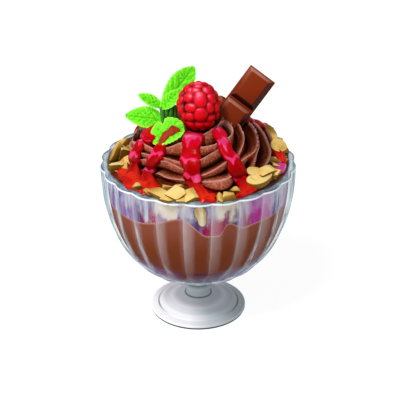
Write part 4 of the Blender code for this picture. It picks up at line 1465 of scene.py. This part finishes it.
bed_look = finish("sauce_soaked_nut_bed", Roughness=0.35, Specular_IOR_Level=0.4)
patches = noise(bed_look, position(bed_look)[0], 180.0)
soaked = ramp(bed_look, patches, [(0.35, "5A0A06"), (0.5, "7A2A10"), (0.62, "6A5216")])
feed(bed_look, "Base Color", soaked)
settle(nut_halves, nut_look, "roasted_peanut")
settle(nut_chunks, nut_look, "roasted_peanut")
settle(nut_bed, bed_look, "roasted_peanut", "nut_heap")

# %% [markdown]
# ## Sauce among the nuts
#
# What ran off the swirl lies between the nuts in thick, round-edged pools. Each is a flattened
# ball with an uneven edge. One at the right is mixed with the milky sauce and is pink. Broad runs
# of sauce lead from the streams down to the rim, each a grid between a left and a right edge.

# %% Pools of sauce
POOLS = [
    # place, length, depth, thickness in mm, turn in degrees
    ((-32.7, -23.6, 87.6), (10.6, 16.0, 5.0), 30), ((-25.6, -31.6, 87.2), (11.0, 11.0, 4.4), 10),
    ((-27.6, -37.0, 86.0), (9.0, 6.0, 3.4), -40), ((-37.0, -17.0, 87.0), (6.4, 9.0, 4.0), 20),
    ((-21.0, -35.4, 86.6), (7.0, 7.0, 3.4), 0), ((4.0, -43.4, 86.6), (12.0, 7.0, 3.4), 4),
    ((24.4, -38.6, 86.8), (13.6, 8.6, 3.4), 34), ((40.8, -14.0, 88.0), (7.4, 10.4, 5.0), -20),
    ((36.0, 27.0, 88.0), (8.0, 8.0, 4.4), 0), ((8.0, 40.0, 87.2), (12.0, 7.0, 4.0), 0),
    ((-24.0, 34.0, 87.2), (10.0, 9.0, 4.0), 30), ((-42.0, 4.0, 86.8), (5.0, 9.0, 4.0), 0),
]

MILKY_POOL = 7
POOLS_WITHIN = 45.4


def pool(index, place, size, turn):
    nothing_selected()
    bpy.ops.mesh.primitive_ico_sphere_add(subdivisions=5, radius=1.0)
    piece = made("pool_" + str(index))
    ball = points_of(piece)
    out, around = polar(ball)
    uneven = 1 + 0.10 * np.sin(3 * around + index) + 0.06 * np.sin(5 * around + 2 * index)
    ripple = 0.10 * np.sin(5 * ball[:, 0] + index) * np.cos(4 * ball[:, 1] + index) * (1 - out)
    flat = np.sign(ball[:, 2]) * np.abs(ball[:, 2]) ** 1.3 + ripple
    length, depth, thick = size
    c, s = math.cos(math.radians(turn)), math.sin(math.radians(turn))
    x, y = ball[:, 0] * uneven * length / 2, ball[:, 1] * uneven * depth / 2
    points = np.stack([x * c - y * s, x * s + y * c, flat * thick / 2], axis=1) + np.array(place)
    points[:, :2] *= np.minimum(1, POOLS_WITHIN / polar(points)[0])[:, None]
    set_points(piece, points * MM)
    set_attribute(piece, "milky", np.full(len(ball), float(index == MILKY_POOL)))
    return piece


# %% Runs of sauce from the swirl to the rim
RUNS = {
    # rows downwards: left end, right end, in mm
    "middle": [
        ((-5.8, -33.4, 91.6), (2.0, -33.4, 91.6)), ((-5.2, -36.6, 89.8), (3.2, -37.2, 89.8)),
        ((-3.4, -39.8, 88.8), (4.8, -41.0, 89.2)), ((-1.6, -43.8, 88.0), (7.8, -44.6, 88.0)),
        ((0.6, -48.6, 87.0), (9.6, -47.8, 87.0)),
    ],
    "right": [
        ((18.4, -31.6, 91.4), (24.2, -29.6, 91.4)), ((19.2, -36.0, 89.8), (27.0, -34.0, 89.8)),
        ((18.6, -39.8, 88.8), (28.8, -37.6, 88.8)), ((17.2, -42.6, 88.0), (26.0, -40.2, 88.0)),
        ((16.0, -45.2, 87.1), (21.6, -43.2, 87.1)),
    ],
    "left": [
        ((-33.8, -15.5, 91.8), (-29.3, -16.7, 91.8)), ((-35.4, -20.0, 90.2), (-28.0, -21.2, 90.2)),
        ((-38.0, -25.0, 89.0), (-26.6, -28.4, 89.0)), ((-36.6, -30.4, 88.0), (-24.6, -34.8, 88.0)),
        ((-34.6, -34.0, 87.2), (-24.6, -39.6, 87.2)),
    ],
    "leaf": [
        ((-27.4, -22.8, 91.4), (-22.6, -25.2, 91.4)), ((-28.6, -27.6, 89.8), (-20.6, -28.6, 89.8)),
        ((-28.0, -32.6, 88.9), (-18.2, -33.4, 88.9)), ((-27.2, -37.2, 88.0), (-17.6, -37.0, 88.0)),
        ((-27.4, -40.0, 87.1), (-20.2, -42.0, 87.1)),
    ],
    "rear": [
        ((34.8, 0.6, 91.8), (39.4, 0.2, 92.4)), ((36.2, -1.2, 91.6), (42.6, -0.4, 92.2)),
        ((38.2, -3.4, 91.0), (44.2, -2.6, 91.0)), ((39.8, -5.8, 90.0), (44.6, -4.9, 89.5)),
        ((40.8, -8.0, 89.0), (44.2, -8.4, 88.6)),
    ],
}
RUN_THICK = 1.5 * MM
RUN_BODY = 1.6 * MM
RUN_COLUMNS = 24
RUN_ROWS = 80
RUN_EASE = 19
RUN_SMOOTHING = 10


def run(name, rows):
    piece, across, up = sheet("run_" + name, RUN_COLUMNS, RUN_ROWS)
    along = (1 - up) / 2
    place = np.linspace(0, 1, len(rows))
    way = np.linspace(0, 1, RUN_ROWS + 1)
    left, right = (
        np.stack([
            np.interp(along, way, eased(np.interp(way, place, values), RUN_EASE))
            for values in ends
        ], axis=1)
        for ends in np.moveaxis(np.array(rows) * MM, 0, 2)
    )
    waver = 1 + 0.05 * np.sin(along * 19 + len(name)) + 0.03 * np.sin(along * 37)
    share = 0.5 + across * waver / 2
    points = left + (right - left) * share[:, None]
    section = np.sqrt(np.clip(1 - across ** 4, 0, 1)) * np.clip((1 - along) * 10, 0, 1) ** 0.5
    strands = 0.22 * np.sin(across * 5.5 + along * 4 + len(name))
    points[:, 2] += RUN_THICK * (section * (1 + strands) - 0.8)
    set_points(piece, points)
    set_attribute(piece, "near_swirl", np.clip(1.15 - 1.5 * along - 0.25 * across, 0, 1))
    thicken(piece, RUN_BODY, smoothing=RUN_SMOOTHING)
    return piece


pieces = [pool(i, *entry) for i, entry in enumerate(POOLS)]
pieces += [run(name, rows) for name, rows in RUNS.items()]
pools = joined("sauce_pools", pieces)
tidy_shell(pools)
smooth(pools)

pool_look = finish("fresh_strawberry_sauce", Roughness=0.20, Specular_IOR_Level=0.16)
uneven = noise(pool_look, position(pool_look)[0], 150.0, 1.0)
# Painted light: lighter, more orange red where the sauce faces up, darker where it faces down.
colour = ramp(
    pool_look, wobbled(pool_look, facing_up(pool_look), uneven, 0.9),
    [(0.25, "8E0400"), (0.55, "C00A00"), (0.80, "DE1404"), (1.0, "F22C10")],
)
for name, tint in (("near_swirl", "B40006"), ("milky", "DC3C98")):
    colour = blend(pool_look, kept(pool_look, name), colour, tint)
feed(pool_look, "Base Color", colour)
settle(pools, pool_look, "berry_sauce")

# %% [markdown]
# ## The raspberry
#
# A raspberry is a hollow cone of small drupelets in rows that break joints. The ones on the front
# stand where the photo has them, the back carries the rows on. Each starts as a ball that is
# squared off a little, as they press on each other. A voxel remesh then joins them into one skin
# with soft creases.

# %% Build the raspberry
BERRY_MIDDLE = np.array([0.2, -5.0, 117.6])
BERRY_HALF = np.array([10.9, 10.9, 12.6])
DRUPELETS = [
    # turn to the right of the front, latitude in degrees, width, height in mm
    (2, 75, 6.2, 3.4), (-58, 56, 6.4, 4.6), (54, 55, 5.6, 6.0), (-16, 60, 6.4, 4.8),
    (-40, 37, 6.2, 5.2), (7, 36, 7.0, 8.4), (52, 32, 5.8, 6.2), (-72, 22, 5.4, 5.4),
    (-24, 13, 6.7, 5.2), (36, 11, 4.8, 6.4), (64, 5, 5.0, 6.4), (-62, 0, 5.4, 6.4),
    (-27, -10, 5.8, 5.4), (7, -3, 7.0, 7.8), (41, -17, 5.6, 4.8), (-47, -14, 3.8, 5.0),
    (78, -20, 5.2, 5.4), (-29, -36, 5.6, 5.2), (5, -35, 5.8, 5.2), (30, -34, 4.6, 4.6),
    (-56, -34, 5.0, 5.2), (58, -42, 5.0, 5.0),
]
BACK_ROWS = [(-58, 9), (-36, 9), (-14, 10), (8, 10), (30, 9), (50, 8), (68, 6), (86, 2)]
BACK_HEIGHT = 5.6
BACK_WIDEST = 6.6
CORE_SHARE = 0.79
DRUPELET_DEPTH = 3.3
DRUPELET_FILL = 0.56
DRUPELET_STANDS_OUT = 0.2
SQUARENESS = 0.90
SKIN_VOXEL = 0.18 * MM


def drupelet(turn_deg, lat_deg, width, height):
    """One drupelet, a squared ball that faces outwards on the berry."""
    piece = sphere("drupelet", 20, 12)
    ball = points_of(piece)
    squared = np.sign(ball) * np.abs(ball) ** SQUARENESS
    turn, lat = math.radians(turn_deg), math.radians(lat_deg)
    out = np.array([math.sin(turn) * math.cos(lat), -math.cos(turn) * math.cos(lat), math.sin(lat)])
    normal = out / BERRY_HALF
    normal /= np.linalg.norm(normal)
    side = np.array([math.cos(turn), math.sin(turn), 0.0])
    up = np.cross(side, normal)
    place = out * BERRY_HALF - normal * (DRUPELET_DEPTH - DRUPELET_STANDS_OUT)
    points = (
        squared[:, :1] * side * width * DRUPELET_FILL
        + squared[:, 1:2] * up * height * DRUPELET_FILL
        + squared[:, 2:] * normal * DRUPELET_DEPTH
    )
    set_points(piece, (points + place + BERRY_MIDDLE) * MM)
    return piece


drupelets = [drupelet(*entry) for entry in DRUPELETS]
for row, (lat, count) in enumerate(BACK_ROWS):
    for i in range(count):
        turn = 360 / count * (i + 0.5 * (row % 2)) + 180
        turn = (turn + 180) % 360 - 180
        if abs(turn) > 88 or lat < -50 or lat > 80:
            wide = 2 * math.pi * BERRY_HALF[0] * math.cos(math.radians(lat)) / count
            wide = min(wide * 1.08, BACK_WIDEST)
            drupelets.append(drupelet(turn, lat, wide, BACK_HEIGHT))
core = sphere("berry_core", 32, 20)
set_points(core, (points_of(core) * (BERRY_HALF * CORE_SHARE) + BERRY_MIDDLE) * MM)
raspberry = joined("fresh_raspberry", drupelets + [core])
skin = raspberry.modifiers.new("skin", "REMESH")
skin.mode = "VOXEL"
skin.voxel_size = SKIN_VOXEL
soften = raspberry.modifiers.new("soften", "SMOOTH")
soften.iterations = 1
apply_modifiers(raspberry)
from_middle = points_of(raspberry) / MM - BERRY_MIDDLE
reach = np.sqrt(((from_middle / BERRY_HALF) ** 2).sum(axis=1))
set_attribute(raspberry, "crease", np.clip((0.99 - reach) / 0.16, 0, 1))
smooth(raspberry)

# %% Raspberry skin
# The flesh is painted lighter, up to a pale pink highlight, where the skin faces the light.
PAINTED_LIGHT_SIDE = (-0.10, -0.62, 0.78)
berry_skin = finish("raspberry_skin", Roughness=0.28, Specular_IOR_Level=0.07)
normal = add(berry_skin, "ShaderNodeNewGeometry").outputs["Normal"]
lit = add(
    berry_skin, "ShaderNodeVectorMath", {0: normal, 1: PAINTED_LIGHT_SIDE}, operation="DOT_PRODUCT"
).outputs["Value"]
painted_lit_flesh = ramp(
    berry_skin, number(berry_skin, "MULTIPLY_ADD", lit, 0.5, 0.5),
    [(0.2, "8A0002"), (0.55, "B40004"), (0.84, "E00412"), (0.945, "F21834"), (0.982, "FA4462"),
     (0.997, "FC8094")],
)
# Painted shade in the creases between the drupelets.
deep = ramp(berry_skin, kept(berry_skin, "crease"), [(0.10, 0.0), (0.36, 0.6), (0.8, 1.0)])
feed(berry_skin, "Base Color", blend(berry_skin, deep, painted_lit_flesh, "4A0004"))
settle(raspberry, berry_skin, "raspberry_skin", "raspberry")

# %% [markdown]
# ## The piece of chocolate bar
#
# Two segments of a moulded bar: a slab with a raised pad on each segment. The pads have broad
# sloping sides, and all edges are slightly rounded, as chocolate comes out of the mould. The milk
# chocolate is painted paler and pinkish as a highlight on the slopes that face up, and painted
# dark as shade where it faces down.

# %% Build the bar
BAR_TOP = Vector((32.6, 12.0, 128.3)) * MM
BAR_ALONG = Vector((0.600, 0.360, 0.714)).normalized()
BAR_ACROSS = Vector((0.800, -0.270, -0.536)).normalized()
BAR_WIDTH = 15.3 * MM
BAR_SEGMENT = 19.0 * MM
BAR_SLAB = 3.6 * MM
BAR_EDGE = 0.5 * MM
PAD_RISE = 3.0 * MM
PAD_SINK = 0.3 * MM
PAD_MARGIN = 0.45 * MM
PAD_SLOPE = 2.0 * MM
PAD_EDGE = 0.55 * MM


def moulded_pad(name, middle_y):
    """A pad with sloping sides: a cube whose top is drawn in, then softened at its edges."""
    piece = cube(name, 1.0)
    points = points_of(piece)
    top = points[:, 2] > 0
    wide, long = BAR_WIDTH - 2 * PAD_MARGIN, BAR_SEGMENT - 2 * PAD_MARGIN
    points[:, 0] *= np.where(top, wide - 2 * PAD_SLOPE, wide)
    points[:, 1] *= np.where(top, long - 2 * PAD_SLOPE, long)
    points[:, 1] += middle_y
    points[:, 2] = np.where(top, PAD_RISE, -PAD_SINK)
    set_points(piece, points)
    soft_edges(piece, PAD_EDGE, 3)
    return piece


slab = cube("slab", 1.0)
points = points_of(slab)
points[:, 0] *= BAR_WIDTH
points[:, 1] = (points[:, 1] - 0.5) * 2 * BAR_SEGMENT
points[:, 2] = (points[:, 2] - 0.5) * BAR_SLAB
set_points(slab, points)
soft_edges(slab, BAR_EDGE, 3)
pads = [moulded_pad("pad_" + str(i), -BAR_SEGMENT * (i + 0.5)) for i in range(2)]
bar = joined("chocolate_bar_piece", [slab] + pads)
face = BAR_ACROSS.cross(BAR_ALONG).normalized()
across = BAR_ALONG.cross(face).normalized()
lean = Matrix((across, BAR_ALONG, face)).transposed().to_4x4()
bar.matrix_world = Matrix.Translation(BAR_TOP) @ lean
apply_place(bar)
smooth(bar, 40.0)

bar_look = finish("moulded_milk_chocolate", Roughness=0.42, Specular_IOR_Level=0.10)
# Painted light and shade: a pale pinkish highlight on faces that look up, dark where they look
# down.
brown = ramp(
    bar_look, number(bar_look, "MULTIPLY_ADD", facing_up(bar_look), 0.5, 0.5),
    [(0.30, "260602"), (0.60, "541604"), (0.715, "842A06"), (0.84, "8A3210"), (0.885, "A65C44"),
     (0.93, "C88674")],
)
feed(bar_look, "Base Color", brown)
settle(bar, bar_look, "milk_chocolate", "chocolate_bar")

# %% [markdown]
# ## The sprig of mint
#
# Each leaf is a fine grid, bent to its place: it narrows to both ends, has small teeth along its
# edge, folds up from the midrib and is puckered between the veins. A vein value is kept as an
# attribute. A small painted glow, an emission in the leaf's own green, stands for the light that
# shines through the thin leaves. Four short stalks carry the sprig, and a streak of thin sauce
# lies across the lowest leaf.

# %% Build the mint
LEAF_THICK = 0.5 * MM
LEAF_GLOW = 0.22
LEAVES = [
    # base, tip, facing, width, bulge, teeth, where it is widest, depth of a notch at its left
    ((-18.1, 4.2, 113.7), (-2.0, 15.6, 130.6), (0.15, -0.89, 0.44), 12.0, 2.0, 13, 0.56, 0.0),
    ((-18.2, 1.6, 113.9), (-7.9, 2.4, 123.8), (-0.10, -0.86, 0.50), 7.0, 1.0, 9, 0.46, 0.0),
    ((-17.8, 2.4, 114.0), (-29.8, 2.6, 120.8), (0.30, -0.78, 0.55), 6.0, 1.0, 8, 0.52, 0.0),
    ((-17.8, 0.4, 108.0), (-36.4, 0.6, 110.4), (0.02, -0.72, 0.69), 11.4, 0.6, 12, 0.44, 0.0),
    ((-22.4, -12.4, 103.6), (-6.9, -13.6, 110.0), (-0.10, -0.62, 0.78), 14.2, 1.6, 9, 0.52, 0.36),
]
LEAF_COLUMNS = 48
LEAF_ROWS = 96
VEINS = 6


def leaf_axes(base, tip, facing):
    """A leaf's base, its way to the tip, and its ways to the lower side and out of its face."""
    along = Vector(tip) - Vector(base)
    side = along.cross(Vector(facing)).normalized()
    face = side.cross(along).normalized()
    return (np.array(v) for v in (Vector(base), along, side, face))


def mint_leaf(name, base, tip, facing, width, bulge, teeth, widest, notch):
    piece, across, up = sheet(name, LEAF_COLUMNS, LEAF_ROWS)
    share = (up + 1) / 2
    skewed = share ** (math.log(0.5) / math.log(widest))
    outline = np.sin(math.pi * np.minimum(1, skewed * 0.94 + 0.05)) ** (0.75 - notch)
    outline *= 1 - notch * np.exp(-(((share - 0.44) / 0.08) ** 2)) * np.clip(-2 * across, 0, 1)
    saw = (share * teeth) % 1.0
    outline = outline * (1 + 0.085 * (saw - 0.5) * np.abs(across) ** 6)
    half = width / 2 * outline
    rib = share * VEINS - np.abs(across) * 1.6
    vein = np.exp(-((((rib + 0.5) % 1.0) - 0.5) / 0.13) ** 2)
    middle = np.exp(-(across / 0.07) ** 2)
    pucker = 0.34 * np.cos(2 * math.pi * rib) * np.abs(across) ** 0.5 * (1 - np.abs(across) ** 4)
    fold = 0.16 * half * (1 - (1 - np.abs(across)) ** 2)
    lift = bulge * np.sin(math.pi * share) + fold - 0.6 * pucker * outline - 0.35 * middle * outline
    base, along, side, face = leaf_axes(base, tip, facing)
    points = base + share[:, None] * along + (half * across)[:, None] * side + lift[:, None] * face
    set_points(piece, points * MM)
    set_attribute(piece, "vein", np.maximum(vein * 0.8, middle) * (np.abs(across) < 0.93))
    set_attribute(piece, "margin", np.abs(across) ** 5)
    thicken(piece, LEAF_THICK, offset=0.0)
    return piece


leaves = [mint_leaf("leaf_" + str(i), *entry) for i, entry in enumerate(LEAVES)]
mint = joined("mint_leaves", leaves)
smooth(mint, 60.0)

# %% Sauce across the lowest leaf
STREAK = [
    # share along the leaf, mm to its lower side, mm off its face
    (0.15, 7.6, 1.4), (0.23, 4.8, 2.2), (0.36, 3.4, 2.6), (0.52, 2.2, 2.7), (0.66, 0.9, 2.6),
    (0.78, 0.6, 2.3), (0.90, 1.8, 1.6),
]
STREAK_RADIUS = 2.5
STREAK_FLATNESS = 0.5
STREAK_VOXEL = 0.08
base, leaf_along, side, face = leaf_axes(*LEAVES[-1][:3])
line = np.array([base + s * leaf_along + o * side + u * face for s, o, u in STREAK])
nothing_selected()
bpy.ops.mesh.primitive_cylinder_add(vertices=20, radius=1.0, depth=2.0)
streak = made("sauce_on_leaf")
rings = streak.modifiers.new("rings", "REMESH")
rings.mode = "VOXEL"
rings.voxel_size = STREAK_VOXEL
apply_modifiers(streak)
section = points_of(streak)
along = np.clip((section[:, 2] + 1) / 2, 0, 1)
at = range(len(line))
spine = np.stack([np.interp(along * at[-1], at, line[:, i]) for i in range(3)], axis=1)
thin = STREAK_RADIUS * (1 - 0.8 * (2 * along - 1) ** 4) * (1 + 0.15 * np.sin(along * 20))
points = spine + (thin * section[:, 0])[:, None] * side
points += (STREAK_FLATNESS * thin * section[:, 1])[:, None] * face
set_points(streak, points * MM)
smooth(streak)

# %% Four short stalks
STALK_EDGE = 0.2 * MM
STALKS = [
    # foot, head, radius in mm
    ((-16.6, -1.6, 103.6), (-18.2, 2.6, 114.4), 1.3),
    ((-15.9, 0.8, 104.6), (-15.5, 2.0, 113.6), 1.3),
    ((-14.2, 0.4, 104.6), (-13.0, 1.8, 114.4), 1.2),
    ((-12.0, 1.6, 104.6), (-11.4, 2.6, 115.0), 1.3),
]


def stalk(name, foot, head, radius):
    along = Vector(head) - Vector(foot)
    nothing_selected()
    bpy.ops.mesh.primitive_cylinder_add(vertices=16, radius=radius * MM, depth=along.length * MM)
    piece = made(name)
    piece.rotation_euler = along.to_track_quat("Z", "Y").to_euler()
    piece.location = (Vector(head) + Vector(foot)) / 2 * MM
    apply_place(piece)
    soft_edges(piece, STALK_EDGE)
    return piece


pieces = [stalk("stalk_" + str(i), *entry) for i, entry in enumerate(STALKS)]
stalks = joined("mint_stalks", pieces)
smooth(stalks, 40.0)

# %% Mint green, thin sauce and stalk green
# Painted glow: the leaves emit a little of their own green.
leaf_look = finish(
    "mint_leaf", Roughness=0.5, Specular_IOR_Level=0.12, Emission_Strength=LEAF_GLOW
)
crinkle = noise(leaf_look, position(leaf_look)[0], 900.0)
green = ramp(leaf_look, crinkle, [(0.32, "3AB00C"), (0.45, "66E016"), (0.66, "80F22C")])
for name, tint in (("vein", "4CBC14"), ("margin", "98FF40")):
    green = blend(leaf_look, kept(leaf_look, name), green, tint)
feed(leaf_look, "Base Color", green)
feed(leaf_look, "Emission Color", green)
settle(mint, leaf_look, "mint_leaf", "mint_sprig")
streak_look = finish(
    "thin_strawberry_sauce", Base_Color=linear("A83416"), Roughness=0.4, Specular_IOR_Level=0.1
)
settle(streak, streak_look, "berry_sauce")
stalk_look = finish("mint_stalk", Base_Color=linear("367E18"), Roughness=0.45)
settle(stalks, stalk_look, "mint_leaf")

# %% Write the sizes and finish
low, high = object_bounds()
print("visual box in mm:", [round(v / MM, 1) for v in (*low, *high)])
